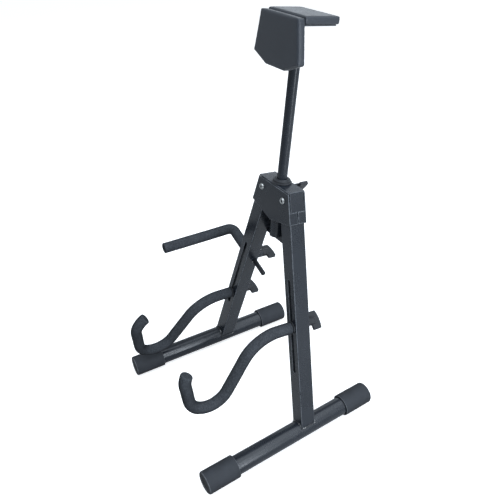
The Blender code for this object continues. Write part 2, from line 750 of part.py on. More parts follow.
def make_hook(side, word, sizes, slider, hook, nut):
    """Hook rod with its foam, the two slot washers and the wing nut. Local Z is up along the leg."""
    face = LEG_SIDE / 2
    stud_place = hook_stud_matrix(side, sizes)
    hook_place = stud_place @ Matrix.Rotation(-side * sizes["turn"], 4, "Y")
    nut_base = face + GAP + WASHER_THICK + GAP
    stud_end = nut_base + NUT_STUD

    def route(short):
        flat = hook_route(sizes["tip"], sizes["curl"] - short / HOOK_CURL_R)
        return [(-side * sizes["sideways"] * forward, -face - forward, -down) for forward, down in flat]

    rod = pipe(word + "_hook_rod", [(0.0, stud_end, 0.0)] + route(FOAM_TIP), ROD_R, ROD_SIDES)
    attach(finish(rod, "black_steel"), hook_place, hook)
    start = -nut_base - GAP
    foam = pipe(word + "_hook_foam", [(0.0, start, 0.0)] + route(0.0)[1:], FOAM_R, FOAM_SIDES)
    bore = pipe("foam_bore", [(0.0, start + FOAM_ROOT_WALL, 0.0)] + route(FOAM_TIP - 2 * GAP)[1:],
                ROD_R + FOAM_BORE_GAP, ROD_SIDES)
    attach(finish(cut(foam, bore), "foam"), hook_place, hook)
    low = face + GAP
    for end, end_word in ((-1, "front"), (1, "back")):
        washer = tube("_".join((word, end_word, "washer")), WASHER_R, STUD_R + THREAD_CLEARANCE,
                      low, low + WASHER_THICK, SMALL_SIDES)
        shift(washer, Matrix.Rotation(-end * math.pi / 2, 4, "X"))
        attach(finish(washer, "black_steel"), stud_place, slider)
    knob = nut_knob(word + "_wing_nut", nut_base, stud_end)
    shift(knob, Matrix.Rotation(sizes["nut_turn"], 4, "Z"))
    attach(finish(knob, "plastic"), stud_place @ BACKWARD, nut)


def arm_route(short):
    """The side arm's flat route from the leg's middle: out through the wall, round the bend, forward."""
    flat = [(0.0, 0.0), (ARM_OUT - ARM_BEND_R, 0.0)]
    heading = arc_run(flat, 0.0, ARM_BEND_R, math.pi / 2, ARM_BEND_STEPS)
    straight_run(flat, heading, ARM_FORWARD - ARM_BEND_R - short)
    # Outward is local -X on the left leg and forward is local -Y
    return [(-out, -forward, 0.0) for out, forward in flat]


def make_side_arm(leg_pivot, arm, knob):
    """Bent rod through the left leg's side walls, its foam, and the wing screw that clamps it."""
    turn = Matrix.Rotation(ARM_TURN, 4, "X")
    place = arm_matrix() @ Matrix.Translation((0, ARM_BEHIND, 0)) @ turn
    route = [(ARM_INNER_END, 0.0, 0.0)] + arm_route(FOAM_TIP)[1:]
    rod = pipe("side_arm_rod", route, ARM_ROD_R, ARM_ROD_SIDES)
    attach(finish(rod, "black_steel"), place, arm)
    start = -LEG_SIDE / 2 - ARM_FOAM_GAP
    foam = pipe("side_arm_foam", [(start, 0.0, 0.0)] + arm_route(0.0)[1:], ARM_FOAM_R, FOAM_SIDES)
    bore = pipe("arm_bore", [(start + FOAM_ROOT_WALL, 0.0, 0.0)] + arm_route(FOAM_TIP - 2 * GAP)[1:],
                ARM_ROD_R + FOAM_BORE_GAP, ARM_ROD_SIDES)
    attach(finish(cut(foam, bore), "foam"), place, arm)
    clamp_nut("arm_clamp_nut", LEG_SIDE / 2 + GAP, ARM_NUT_LENGTH, arm_matrix(), leg_pivot)
    knob_base = LEG_SIDE / 2 + ARM_NUT_LENGTH + 2 * GAP
    screw = screw_knob("side_arm_knob", knob_base, ARM_BEHIND + ARM_ROD_R + GAP)
    shift(screw, Matrix.Rotation(ARM_KNOB_TURN, 4, "Z"))
    attach(finish(screw, "plastic"), arm_matrix() @ BACKWARD, knob)


def main():
    global PARTS, CUTTERS
    clear_scene()
    PARTS = new_collection("guitar_stand")
    CUTTERS = new_collection("cutters")
    head = empty("head_frame", head_matrix())
    make_head(head)
    mast = empty("mast_slide", head_matrix(), head)
    knob_place = head_matrix() @ Matrix.Translation((0, 0, KNOB_ABOVE_PIVOT))
    make_mast(mast, empty("height_knob_turn", knob_place, head))
    for side, word, sizes in ((1, "right", RIGHT_HOOK), (-1, "left", LEFT_HOOK)):
        leg = empty(word + "_leg_pivot", leg_matrix(side), head)
        make_leg(side, word, leg)
        make_foot(side, word, leg)
        stud = hook_stud_matrix(side, sizes)
        slider = empty(word + "_hook_slide", stud, leg)
        make_hook(side, word, sizes, slider, empty(word + "_hook_swing", stud, slider),
                  empty(word + "_nut_turn", stud, slider))
        if side < 0:
            arm = empty("side_arm_slide", arm_matrix(), leg)
            make_side_arm(leg, arm, empty("side_arm_knob_turn", arm_matrix(), leg))
    bpy.context.view_layer.update()


main()
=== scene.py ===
import json
import math
import random

import bmesh
import bpy
from mathutils import Matrix, Vector, noise


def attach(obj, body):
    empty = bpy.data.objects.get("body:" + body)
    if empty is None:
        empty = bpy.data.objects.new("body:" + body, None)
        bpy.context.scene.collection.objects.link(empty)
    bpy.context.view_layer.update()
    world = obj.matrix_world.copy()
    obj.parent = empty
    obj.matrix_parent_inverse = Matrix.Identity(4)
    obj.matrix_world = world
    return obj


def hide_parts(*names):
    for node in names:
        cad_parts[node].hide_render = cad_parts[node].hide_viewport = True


bl_info = {
    "name": "Guitar stand looks",
    "version": (1, 0, 0),
    "blender": (4, 5, 0),
    "location": "View3D > Sidebar > Stand",
    "description": "Gives the packed guitar stand its finishes, foam, welds and studio light",
    "category": "Object",
}

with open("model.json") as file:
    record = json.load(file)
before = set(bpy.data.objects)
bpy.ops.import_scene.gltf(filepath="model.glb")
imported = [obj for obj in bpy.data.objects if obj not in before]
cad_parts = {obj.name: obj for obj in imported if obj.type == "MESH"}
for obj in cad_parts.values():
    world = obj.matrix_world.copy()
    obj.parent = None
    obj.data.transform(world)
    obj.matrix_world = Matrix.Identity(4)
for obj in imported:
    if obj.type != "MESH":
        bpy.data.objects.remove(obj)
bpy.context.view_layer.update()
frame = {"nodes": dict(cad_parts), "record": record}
NODES = frame["nodes"]
RECORD = frame["record"]
BODY_OF = {node: body for body, members in RECORD["behaviour"]["bodies"].items() for node in members}
FINISH_OF = {part["node"]: part["material_slot"] for part in RECORD["subparts"]}
JOINTS = {joint["name"]: joint for joint in RECORD["behaviour"]["joints"]}

# The stand's own directions, read from its joints
BACKWARD = Vector(JOINTS["height_screw_turn"]["axis"]).normalized()
MAST_UP = Vector(JOINTS["mast_height"]["axis"]).normalized()
PIVOT = {word: Vector(JOINTS[word + "_leg_fold"]["pos_m"]) for word in ("right", "left")}
LEG_UP = {word: Vector(JOINTS[word + "_hook_height"]["axis"]).normalized() for word in ("right", "left")}
STUD = {word: Vector(JOINTS[word + "_hook_swing"]["pos_m"]) for word in ("right", "left")}
SIDE = {"right": 1, "left": -1}

# Sizes that the solids also have, in metres
LEG_SIDE = 0.0254
LEG_WALL = 0.0012
LEG_LENGTH = 0.377
FOOT_TUBE_R = 0.015
ROD_R = 0.003
FOAM_R = 0.0095
FOAM_BORE_R = 0.0033
ROD_SHORT = 0.006
HOOK_ROOT = 0.0151
STUD_END = 0.0268
HOOK_OUT = 0.0259
HOOK_KNEE_R = 0.0614
HOOK_KNEE = math.radians(64.5)
HOOK_REACH = 0.0583
HOOK_CRADLE_R = 0.0342
HOOK_CRADLE = math.radians(141.8)
HOOK_CURL_R = 0.0392
HOOKS = {
    "right": {"turn": math.radians(-18.7), "tip": 0.0318, "curl": math.radians(33), "sideways": 0.0},
    "left": {"turn": math.radians(1.3), "tip": 0.0435, "curl": math.radians(62), "sideways": 0.04},
}
ARM_ROD_R = 0.004
ARM_FOAM_R = 0.0091
ARM_BORE_R = 0.0043
ARM_HEIGHT = 0.2183
ARM_BEHIND = 0.0063
ARM_INNER_END = 0.0453
ARM_OUT = 0.0712
ARM_FORWARD = 0.1316
ARM_BEND_R = 0.0104
ARM_TURN = math.radians(6.8)
ARM_ROOT = 0.0132
COLLAR_BORE_R = 0.0078
COLLAR_RING_R = 0.0096
COLLAR_R = 0.013
COLLAR_FLANGE_R = 0.015
CAP_BORE_R = 0.0153
CAP_R = 0.018
CAP_MOUTH_ROUND = 0.0015
CAP_END_ROUND = 0.0026
CAP_DISH_R = 0.0112
CAP_DISH = 0.0012
CAP_FLOOR = 0.006
RIVET_R = 0.005
RIVET_SHANK_R = 0.003
RIVET_HOLE_R = 0.0021
RIVET_STUB_R = 0.0011


# Node helpers

def connect(tree, socket, value):
    """Links a socket to another one, or gives it a plain value."""
    if isinstance(value, bpy.types.NodeSocket):
        tree.links.new(value, socket)
    elif isinstance(value, tuple) and len(value) == 3 and socket.type == "RGBA":
        socket.default_value = (*value, 1.0)
    else:
        socket.default_value = value


def add_node(tree, kind, inputs, **settings):
    made = tree.nodes.new(kind)
    for key, value in settings.items():
        setattr(made, key, value)
    for name, value in inputs.items():
        connect(tree, made.inputs[name], value)
    return made


def noise_of(tree, place, scale, detail=3.0, roughness=0.5):
    made = add_node(tree, "ShaderNodeTexNoise", {"Vector": place, "Scale": scale, "Detail": detail,
                                                 "Roughness": roughness})
    return made.outputs["Fac"]


def spread(tree, value, low, high, out_low=0.0, out_high=1.0):
    made = add_node(tree, "ShaderNodeMapRange", {"Value": value, "From Min": low, "From Max": high,
                                                 "To Min": out_low, "To Max": out_high})
    return made.outputs["Result"]


def blend_colors(tree, factor, first, second):
    made = add_node(tree, "ShaderNodeMix", {}, data_type="RGBA")
    connect(tree, made.inputs["Factor"], factor)
    connect(tree, made.inputs["A"], first)
    connect(tree, made.inputs["B"], second)
    return made.outputs["Result"]


def arithmetic(tree, operation, first, second):
    made = tree.nodes.new("ShaderNodeMath")
    made.operation = operation
    connect(tree, made.inputs[0], first)
    connect(tree, made.inputs[1], second)
    return made.outputs["Value"]


def new_group(name, inputs, outputs):
    """A shader node group with named sockets; returns its tree, its input sockets and its output node."""
    tree = bpy.data.node_groups.new(name, "ShaderNodeTree")
    for label, kind, default in inputs:
        socket = tree.interface.new_socket(label, in_out="INPUT", socket_type=kind)
        if default is not None:
            socket.default_value = default
    for label, kind in outputs:
        tree.interface.new_socket(label, in_out="OUTPUT", socket_type=kind)
    entry = tree.nodes.new("NodeGroupInput")
    leave = tree.nodes.new("NodeGroupOutput")
    return tree, entry.outputs, leave.inputs


FLOAT, COLOR, VECTOR = "NodeSocketFloat", "NodeSocketColor", "NodeSocketVector"


def mottle_group():
    """Soft patches of two colours, broken up by a finer grain."""
    tree, given, out = new_group("Mottle", [("Vector", VECTOR, None), ("Patches", FLOAT, 20.0), ("Grain", FLOAT, 600.0),
                                            ("Share of grain", FLOAT, 0.5), ("Dark", COLOR, None),
                                            ("Light", COLOR, None)],
                                 [("Color", COLOR), ("Mask", FLOAT)])
    patches = spread(tree, noise_of(tree, given["Vector"], given["Patches"], 3.0), 0.3, 0.7)
    grain = spread(tree, noise_of(tree, given["Vector"], given["Grain"], 2.0, 0.6), 0.3, 0.7)
    made = add_node(tree, "ShaderNodeMix", {}, data_type="FLOAT")
    connect(tree, made.inputs["Factor"], given["Share of grain"])
    connect(tree, made.inputs["A"], patches)
    connect(tree, made.inputs["B"], grain)
    mask = made.outputs["Result"]
    tree.links.new(mask, out["Mask"])
    tree.links.new(blend_colors(tree, mask, given["Dark"], given["Light"]), out["Color"])
    return tree


def peel_group():
    """Fine relief: a rounded grain with a slower swell under it."""
    tree, given, out = new_group("Fine relief", [("Vector", VECTOR, None), ("Scale", FLOAT, 800.0),
                                                 ("Strength", FLOAT, 0.2), ("Depth", FLOAT, 0.0003)],
                                 [("Normal", VECTOR), ("Height", FLOAT)])
    fine = noise_of(tree, given["Vector"], given["Scale"], 2.0, 0.5)
    slow = noise_of(tree, given["Vector"], arithmetic(tree, "MULTIPLY", given["Scale"], 0.22), 1.0)
    height = arithmetic(tree, "ADD", fine, slow)
    relief = add_node(tree, "ShaderNodeBump", {"Strength": given["Strength"], "Distance": given["Depth"],
                                               "Height": height})
    tree.links.new(relief.outputs["Normal"], out["Normal"])
    tree.links.new(height, out["Height"])
    return tree


def cells_group():
    """Small closed cells, as on a cut or moulded foam skin."""
    tree, given, out = new_group("Foam cells", [("Vector", VECTOR, None), ("Scale", FLOAT, 900.0),
                                                ("Strength", FLOAT, 0.4), ("Depth", FLOAT, 0.0004)],
                                 [("Normal", VECTOR), ("Pores", FLOAT)])
    cells = add_node(tree, "ShaderNodeTexVoronoi", {"Vector": given["Vector"], "Scale": given["Scale"]})
    lumps = noise_of(tree, given["Vector"], arithmetic(tree, "MULTIPLY", given["Scale"], 0.3), 4.0, 0.65)
    height = arithmetic(tree, "ADD", cells.outputs["Distance"], lumps)
    relief = add_node(tree, "ShaderNodeBump", {"Strength": given["Strength"], "Distance": given["Depth"],
                                               "Height": height})
    tree.links.new(relief.outputs["Normal"], out["Normal"])
    tree.links.new(spread(tree, cells.outputs["Distance"], 0.05, 0.45), out["Pores"])
    return tree


def scuff_highlight_group():
    """Scuffed paint and a painted highlight on edges: the mask that the rounded edges carry, broken up by noise."""
    tree, given, out = new_group("Scuffed edges and painted highlight", [("Vector", VECTOR, None), ("Edge", FLOAT, 0.0),
                                                  ("Scale", FLOAT, 120.0), ("Amount", FLOAT, 0.5)],
                                 [("Mask", FLOAT)])
    broken = spread(tree, noise_of(tree, given["Vector"], given["Scale"], 4.0, 0.6), 0.25, 0.55)
    scuffed_highlight = arithmetic(tree, "MULTIPLY", given["Edge"], broken)
    tree.links.new(arithmetic(tree, "MULTIPLY", scuffed_highlight, given["Amount"]), out["Mask"])
    return tree


GROUPS = {}
MATERIALS = {}


def use_group(tree, name, inputs):
    builders = {"mottle": mottle_group, "relief": peel_group, "cells": cells_group, "scuff_and_highlight": scuff_highlight_group}
    if name not in GROUPS:
        GROUPS[name] = builders[name]()
    made = tree.nodes.new("ShaderNodeGroup")
    made.node_tree = GROUPS[name]
    for label, value in inputs.items():
        connect(tree, made.inputs[label], value)
    return made.outputs


def new_material(name):
    """A Principled material, with the object's own coordinates to place its detail."""
    mat = bpy.data.materials.new(name)
    mat.use_nodes = True
    tree = mat.node_tree
    place = tree.nodes.new("ShaderNodeTexCoord").outputs["Object"]
    return mat, tree, tree.nodes["Principled BSDF"], place


def light_shade_and_scuff_mask(tree):
    """The mask that a piece carries in its mesh: a painted highlight on rounded edges with some scuffed finish, painted
    light inside a leg's tube, painted shade in a rivet's recess.
    """
    return add_node(tree, "ShaderNodeAttribute", {}, attribute_name="edge").outputs["Fac"]


def coated_metal(name, dark, light, roughness, peel, scuffed_highlight, metallic=0.0, specular=0.5):
    """A coat on metal: colour drift, orange peel, and edges painted lighter, a painted highlight with some scuffed
    paint.
    """
    mat, tree, shader, place = new_material(name)
    tone = use_group(tree, "mottle", {"Vector": place, "Patches": 24.0, "Grain": 900.0, "Share of grain": 0.35,
                                      "Dark": dark, "Light": light})
    scuff_and_highlight = use_group(tree, "scuff_and_highlight", {"Vector": place, "Edge": light_shade_and_scuff_mask(tree), "Scale": 160.0, "Amount": 0.9})
    # Edges get a lighter colour: a painted highlight, partly scuffed paint.
    tree.links.new(blend_colors(tree, scuff_and_highlight["Mask"], tone["Color"], scuffed_highlight), shader.inputs["Base Color"])
    low, high = roughness
    tree.links.new(spread(tree, tone["Mask"], 0.2, 0.8, low, high), shader.inputs["Roughness"])
    shader.inputs["Metallic"].default_value = metallic
    shader.inputs["Specular IOR Level"].default_value = specular
    skin = use_group(tree, "relief", {"Vector": place, "Scale": peel, "Strength": 0.09, "Depth": 0.0003})
    tree.links.new(skin["Normal"], shader.inputs["Normal"])
    return mat


def paint_material():
    """Satin charcoal powder coat."""
    look = bpy.context.scene.stand_metal
    dark = tuple(look.paint_color)
    light = tuple(min(1.0, value * 1.5) for value in dark)
    # The pale edge colour is a painted highlight on the rounded edges, with some scuffed paint.
    return coated_metal("powder_coat", dark, light, (0.22, 0.30), 1100.0, (0.30, 0.32, 0.35), 0.0, 0.5)


def black_steel_material():
    """Black-coated steel of rods and washers."""
    # The pale edge colour is a painted highlight on the rounded edges, with some scuffed finish.
    return coated_metal("black_steel", (0.010, 0.011, 0.014), (0.022, 0.024, 0.028), (0.34, 0.48), 700.0,
                        (0.16, 0.165, 0.17), 0.3, 0.5)


def plastic_material():
    """Moulded black plastic of knobs, collar and plug, with a fine spark texture."""
    # The pale edge colour is a painted highlight on the rounded edges, with some scuffed plastic.
    return coated_metal("plastic", (0.015, 0.016, 0.019), (0.026, 0.028, 0.032), (0.40, 0.52), 1500.0,
                        (0.045, 0.05, 0.057), 0.0, 0.45)


def rubber_material():
    """Matt moulded rubber with a slightly dusty, uneven skin."""
    mat, tree, shader, place = new_material("rubber")
    tone = use_group(tree, "mottle", {"Vector": place, "Patches": 60.0, "Grain": 1400.0, "Share of grain": 0.4,
                                      "Dark": (0.022, 0.025, 0.030), "Light": (0.042, 0.046, 0.054)})
    scuff_and_highlight = use_group(tree, "scuff_and_highlight", {"Vector": place, "Edge": light_shade_and_scuff_mask(tree), "Scale": 200.0, "Amount": 0.9})
    # Edges are lighter: a painted highlight with some scuffed rubber. The rim is darkened as painted shade.
    skin_color = blend_colors(tree, scuff_and_highlight["Mask"], tone["Color"], (0.16, 0.17, 0.185))
    tree.links.new(painted_rim_shade(tree, skin_color, (0.010, 0.011, 0.013)), shader.inputs["Base Color"])
    tree.links.new(spread(tree, tone["Mask"], 0.2, 0.8, 0.62, 0.76), shader.inputs["Roughness"])
    shader.inputs["Specular IOR Level"].default_value = 0.35
    skin = use_group(tree, "relief", {"Vector": place, "Scale": 1300.0, "Strength": 0.3, "Depth": 0.0003})
    tree.links.new(skin["Normal"], shader.inputs["Normal"])
    return mat


def painted_rim_shade(tree, color, shade_tone):
    """Paints shade on a matt skin where it turns away from the view: a painted darkening of the rim."""
    away = add_node(tree, "ShaderNodeLayerWeight", {"Blend": 0.5}).outputs["Facing"]
    return blend_colors(tree, spread(tree, away, 0.3, 0.85, 0.0, 1.0), color, shade_tone)


def foam_like(name, dark, light, scale, strength, sheen, roughness=(0.86, 0.96), specular=0.3):
    mat, tree, shader, place = new_material(name)
    tone = use_group(tree, "mottle", {"Vector": place, "Patches": 45.0, "Grain": 420.0, "Share of grain": 0.7,
                                      "Dark": dark, "Light": light})
    cells = use_group(tree, "cells", {"Vector": place, "Scale": scale, "Strength": strength, "Depth": 0.0004})
    # Pores are painted darker as painted shade in the pits, and the rim gets painted shade below.
    pore_shade = arithmetic(tree, "MULTIPLY", arithmetic(tree, "SUBTRACT", 1.0, cells["Pores"]), 0.35)
    shade_tone = tuple(value * 0.55 for value in dark)
    skin = blend_colors(tree, pore_shade, tone["Color"], shade_tone)
    tree.links.new(painted_rim_shade(tree, skin, shade_tone), shader.inputs["Base Color"])
    low, high = roughness
    tree.links.new(spread(tree, tone["Mask"], 0.2, 0.8, low, high), shader.inputs["Roughness"])
    shader.inputs["Specular IOR Level"].default_value = specular
    shader.inputs["Sheen Weight"].default_value = sheen
    shader.inputs["Sheen Roughness"].default_value = 0.6
    tree.links.new(cells["Normal"], shader.inputs["Normal"])
    return mat


def sleeve_foam_material():
    """Charcoal closed-cell foam of the hooks and the side arm."""
    return foam_like("sleeve_foam", (0.033, 0.036, 0.041), (0.077, 0.084, 0.094), 900.0, 0.7, 0.0, (0.9, 1.0), 0.08)


def pad_foam_material():
    """Denser, smoother foam of the rest's pads."""
    return foam_like("pad_foam", (0.020, 0.025, 0.034), (0.030, 0.037, 0.048), 1500.0, 0.22, 0.10, (0.32, 0.42), 0.5)


def zinc_material():
    """Zinc-plated rivets: bright, faintly cloudy, with painted shade darkening the recess."""
    mat, tree, shader, place = new_material("zinc")
    tone = use_group(tree, "mottle", {"Vector": place, "Patches": 300.0, "Grain": 1500.0, "Share of grain": 0.4,
                                      "Dark": (0.36, 0.37, 0.36), "Light": (0.66, 0.67, 0.66)})
    # The recess is painted dark: painted shade.
    tree.links.new(blend_colors(tree, light_shade_and_scuff_mask(tree), tone["Color"], (0.03, 0.03, 0.032)),
                   shader.inputs["Base Color"])
    tree.links.new(spread(tree, tone["Mask"], 0.2, 0.8, 0.22, 0.42), shader.inputs["Roughness"])
    shader.inputs["Metallic"].default_value = 1.0
    skin = use_group(tree, "relief", {"Vector": place, "Scale": 1800.0, "Strength": 0.15, "Depth": 0.0002})
    tree.links.new(skin["Normal"], shader.inputs["Normal"])
    return mat


def weld_material():
    """Painted weld beads with small bare glints where the coat is thin."""
    mat, tree, shader, place = new_material("weld")
    tone = use_group(tree, "mottle", {"Vector": place, "Patches": 120.0, "Grain": 900.0, "Share of grain": 0.5,
                                      "Dark": (0.012, 0.013, 0.016), "Light": (0.030, 0.033, 0.038)})
    bare = spread(tree, noise_of(tree, place, 420.0, 2.0, 0.5), 0.60, 0.66)
    tree.links.new(blend_colors(tree, bare, tone["Color"], (0.62, 0.62, 0.60)), shader.inputs["Base Color"])
    tree.links.new(arithmetic(tree, "MULTIPLY", bare, 0.9), shader.inputs["Metallic"])
    tree.links.new(spread(tree, tone["Mask"], 0.2, 0.8, 0.28, 0.45), shader.inputs["Roughness"])
    skin = use_group(tree, "relief", {"Vector": place, "Scale": 900.0, "Strength": 0.5, "Depth": 0.0004})
    tree.links.new(skin["Normal"], shader.inputs["Normal"])
    return mat


def material_for(slot):
    makers = {"paint": paint_material, "black_steel": black_steel_material, "plastic": plastic_material,
              "rubber": rubber_material, "foam": sleeve_foam_material, "pad": pad_foam_material,
              "zinc": zinc_material, "weld": weld_material}
    if slot not in MATERIALS:
        MATERIALS[slot] = makers[slot]()
    return MATERIALS[slot]


# Mesh helpers

SHORTEST_EDGE = 0.0001
TRIM_REACH = 0.003


def piece_from(shape, name, slot, body, sharp=40.0):
    """Makes a piece of a bmesh, with its finish, smooth shading and the body that it rides on."""
    mesh = bpy.data.meshes.new(name)
    shape.to_mesh(mesh)
    shape.free()
    obj = bpy.data.objects.new(name, mesh)
    bpy.context.scene.collection.objects.link(obj)
    mesh.materials.append(material_for(slot))
    mesh.shade_smooth()
    mesh.set_sharp_from_angle(angle=math.radians(sharp))
    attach(obj, body)
    return obj


def settle(obj):
    """Applies the modifiers of an object."""
    bpy.context.view_layer.update()
    graph = bpy.context.evaluated_depsgraph_get()
    mesh = bpy.data.meshes.new_from_object(obj.evaluated_get(graph), preserve_all_data_layers=True, depsgraph=graph)
    obj.modifiers.clear()
    obj.data = mesh
    return obj


def rounded_copy(node, width, segments=2, sharp=28.0, scuff_and_highlight=0.5, worn_and_lit=None, trim=0.0):
    """Replaces a rigid solid by a copy with rounded outer edges, which carry the mask for a painted highlight and
    scuffed paint.

    A trim moves the ends that face forward and backward inward, so that a seam beside them shows.
    """
    shape = bmesh.new()
    shape.from_mesh(NODES[node].data)
    bmesh.ops.remove_doubles(shape, verts=shape.verts, dist=SHORTEST_EDGE)
    if trim:
        depths = [vertex.co.dot(BACKWARD) for vertex in shape.verts]
        for vertex, depth in zip(shape.verts, depths):
            if max(depths) - depth < TRIM_REACH:
                vertex.co -= BACKWARD * trim
            elif depth - min(depths) < TRIM_REACH:
                vertex.co += BACKWARD * trim
    bmesh.ops.dissolve_limit(shape, angle_limit=math.radians(0.6), verts=shape.verts, edges=shape.edges)
    mask = shape.faces.layers.float.new("edge")
    limit = math.radians(sharp)
    edges = [edge for edge in shape.edges if edge.is_manifold and edge.is_convex and edge.calc_face_angle() > limit]
    made = bmesh.ops.bevel(shape, geom=edges, offset=width, offset_type="OFFSET", segments=segments, profile=0.5,
                           affect="EDGES", clamp_overlap=False)
    # Bevel faces carry the mask for a painted highlight with some scuffed finish.
    for face in made["faces"]:
        face[mask] = scuff_and_highlight
    for face in shape.faces:
        if worn_and_lit:
            face[mask] = max(face[mask], worn_and_lit(face))
    obj = piece_from(shape, node + "_shape", FINISH_OF[node], BODY_OF[node])
    weigh = obj.modifiers.new("flat_faces", "WEIGHTED_NORMAL")
    weigh.keep_sharp = True
    weigh.weight = 80
    settle(obj)
    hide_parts(node)
    return obj


def sweep(path, radii, sides):
    """Rings round a path, each with its own radius; a radius of 0 closes an end. Returns a bmesh."""
    shape = bmesh.new()
    heading = next(second - first for first, second in zip(path, path[1:]) if (second - first).length > 1e-7)
    heading = heading.normalized()
    across = heading.orthogonal().normalized()
    rings = []
    for index, (place, radius) in enumerate(zip(path, radii)):
        ahead = path[min(index + 1, len(path) - 1)] - path[max(index - 1, 0)]
        if ahead.length > 1e-7:
            turn = heading.rotation_difference(ahead.normalized())
            across = (turn @ across).normalized()
            heading = ahead.normalized()
        up = heading.cross(across).normalized()
        if radius == 0:
            rings.append([shape.verts.new(place)])
            continue
        ring = []
        for k in range(sides):
            angle = k / sides * math.tau
            reach = radius(angle) if callable(radius) else radius
            ring.append(shape.verts.new(place + (across * math.cos(angle) + up * math.sin(angle)) * reach))
        rings.append(ring)
    for first, second in zip(rings, rings[1:]):
        for k in range(sides):
            n = (k + 1) % sides
            if len(first) == 1:
                shape.faces.new((first[0], second[k], second[n]))
            elif len(second) == 1:
                shape.faces.new((first[k], second[0], first[n]))
            else:
                shape.faces.new((first[k], second[k], second[n], first[n]))
    bmesh.ops.recalc_face_normals(shape, faces=shape.faces)
    return shape


def rounded_profile(corners, steps=4):
    """A flat outline of (radius, height, rounding) corners, each replaced by an arc; the outline is closed."""
    outline = []
    count = len(corners)
    for k, (x, y, radius) in enumerate(corners):
        corner = Vector((x, y))
        if radius == 0:
            outline.append((x, y))
            continue
        before = Vector(corners[k - 1][:2]) - corner
        after = Vector(corners[(k + 1) % count][:2]) - corner
        half = before.angle(after) / 2
        reach = min(radius / math.tan(half), before.length * 0.49, after.length * 0.49)
        middle = corner + (before.normalized() + after.normalized()).normalized() * reach / math.cos(half)
        first = corner + before.normalized() * reach - middle
        last = corner + after.normalized() * reach - middle
        turn = first.angle_signed(last)
        for j in range(steps + 1):
            angle = -turn * j / steps
            outline.append((middle.x + first.x * math.cos(angle) - first.y * math.sin(angle),
                            middle.y + first.x * math.sin(angle) + first.y * math.cos(angle)))
    return outline


def turned(node, origin, axis, corners, steps, hollow=0.0, scuff_and_highlight=0.0):
    """Replaces a round solid by a turned shape; corners are (radius, height, rounding) about an axis.

    The mask is full inside the hollow's radius, where it paints shade in the recess, and has the given strength on
    rounded corners, where it paints a highlight with some scuffed finish.
    """
    outline = rounded_profile(corners)
    across = axis.orthogonal().normalized()
    side = axis.cross(across)
    shape = bmesh.new()
    mask = shape.faces.layers.float.new("edge")
    rings = []
    for radius, height in outline:
        radius = max(radius, 0.00001)
        rings.append([shape.verts.new(origin + axis * height + (across * math.cos(k / steps * math.tau)
                                                                + side * math.sin(k / steps * math.tau)) * radius)
                      for k in range(steps)])
    for index, first in enumerate(rings):
        second = rings[(index + 1) % len(rings)]
        for k in range(steps):
            n = (k + 1) % steps
            face = shape.faces.new((first[k], second[k], second[n], first[n]))
            inner, outer = outline[index], outline[(index + 1) % len(outline)]
            out, along = abs(outer[0] - inner[0]), abs(outer[1] - inner[1])
            slanting = min(out, along) > 0.25 * math.hypot(out, along)
            face[mask] = 1.0 if max(inner[0], outer[0]) < hollow else scuff_and_highlight if slanting else 0.0
    bmesh.ops.remove_doubles(shape, verts=shape.verts, dist=0.00003)
    bmesh.ops.recalc_face_normals(shape, faces=shape.faces)
    obj = piece_from(shape, node + "_shape", FINISH_OF[node], BODY_OF[node], 50.0)
    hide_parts(node)
    return obj


def reach_along(node, origin, axis):
    """The lowest and highest distance of a solid from a point along an axis."""
    heights = [(vertex.co - origin).dot(axis) for vertex in NODES[node].data.vertices]
    return min(heights), max(heights)


def run_straight(route, heading, length, step=0.0025):
    """Adds evenly spaced points along a straight run of a flat route."""
    count = max(1, round(length / step))
    x, y = route[-1]
    for k in range(1, count + 1):
        reach = length * k / count
        route.append((x + reach * math.cos(heading), y + reach * math.sin(heading)))


def run_arc(route, heading, radius, turn, step=0.0018):
    """Adds a bend to a flat route and returns the new heading; a positive turn is to the left."""
    if abs(turn) < 1e-6:
        return heading
    count = max(2, round(abs(radius * turn) / step))
    x, y = route[-1]
    sign = math.copysign(1.0, turn)
    cx, cy = x - sign * radius * math.sin(heading), y + sign * radius * math.cos(heading)
    for k in range(1, count + 1):
        angle = heading + turn * k / count
        route.append((cx + sign * radius * math.sin(angle), cy - sign * radius * math.cos(angle)))
    return heading + turn


def hook_place(word):
    """World place of a hook: its stud, X to the right, Y backward and Z up, turned about the stud."""
    up = LEG_UP[word]
    right = BACKWARD.cross(up).normalized()
    turn = Matrix((right, BACKWARD, up)).transposed().to_4x4()
    spin = Matrix.Rotation(-SIDE[word] * HOOKS[word]["turn"], 4, "Y")
    return Matrix.Translation(STUD[word]) @ turn @ spin


def hook_path(word, start, short):
    """World points of a hook's middle line, from a depth behind the leg's middle to the tip."""
    sizes = HOOKS[word]
    flat = [(0.0, 0.0)]
    run_straight(flat, 0.0, HOOK_OUT)
    heading = run_arc(flat, 0.0, HOOK_KNEE_R, HOOK_KNEE)
    run_straight(flat, heading, HOOK_REACH)
    heading = run_arc(flat, heading, HOOK_CRADLE_R, -HOOK_CRADLE)
    run_straight(flat, heading, sizes["tip"])
    run_arc(flat, heading, HOOK_CURL_R, -(sizes["curl"] - short / HOOK_CURL_R))
    face = LEG_SIDE / 2
    local = [Vector((0.0, -start, 0.0))] if start < face else []
    local += [Vector((-SIDE[word] * sizes["sideways"] * forward, -face - forward, -down))
              for forward, down in flat if face + forward > start]
    place = hook_place(word)
    return [place @ point for point in local]


def arm_place():
    """World place of the side arm: X inward, Y backward, Z up, turned so that its forward run is level."""
    up = LEG_UP["left"]
    right = BACKWARD.cross(up).normalized()
    turn = Matrix((right, BACKWARD, up)).transposed().to_4x4()
    foot = PIVOT["left"] - up * (LEG_LENGTH - ARM_HEIGHT) + BACKWARD * ARM_BEHIND
    return Matrix.Translation(foot) @ turn @ Matrix.Rotation(ARM_TURN, 4, "X")


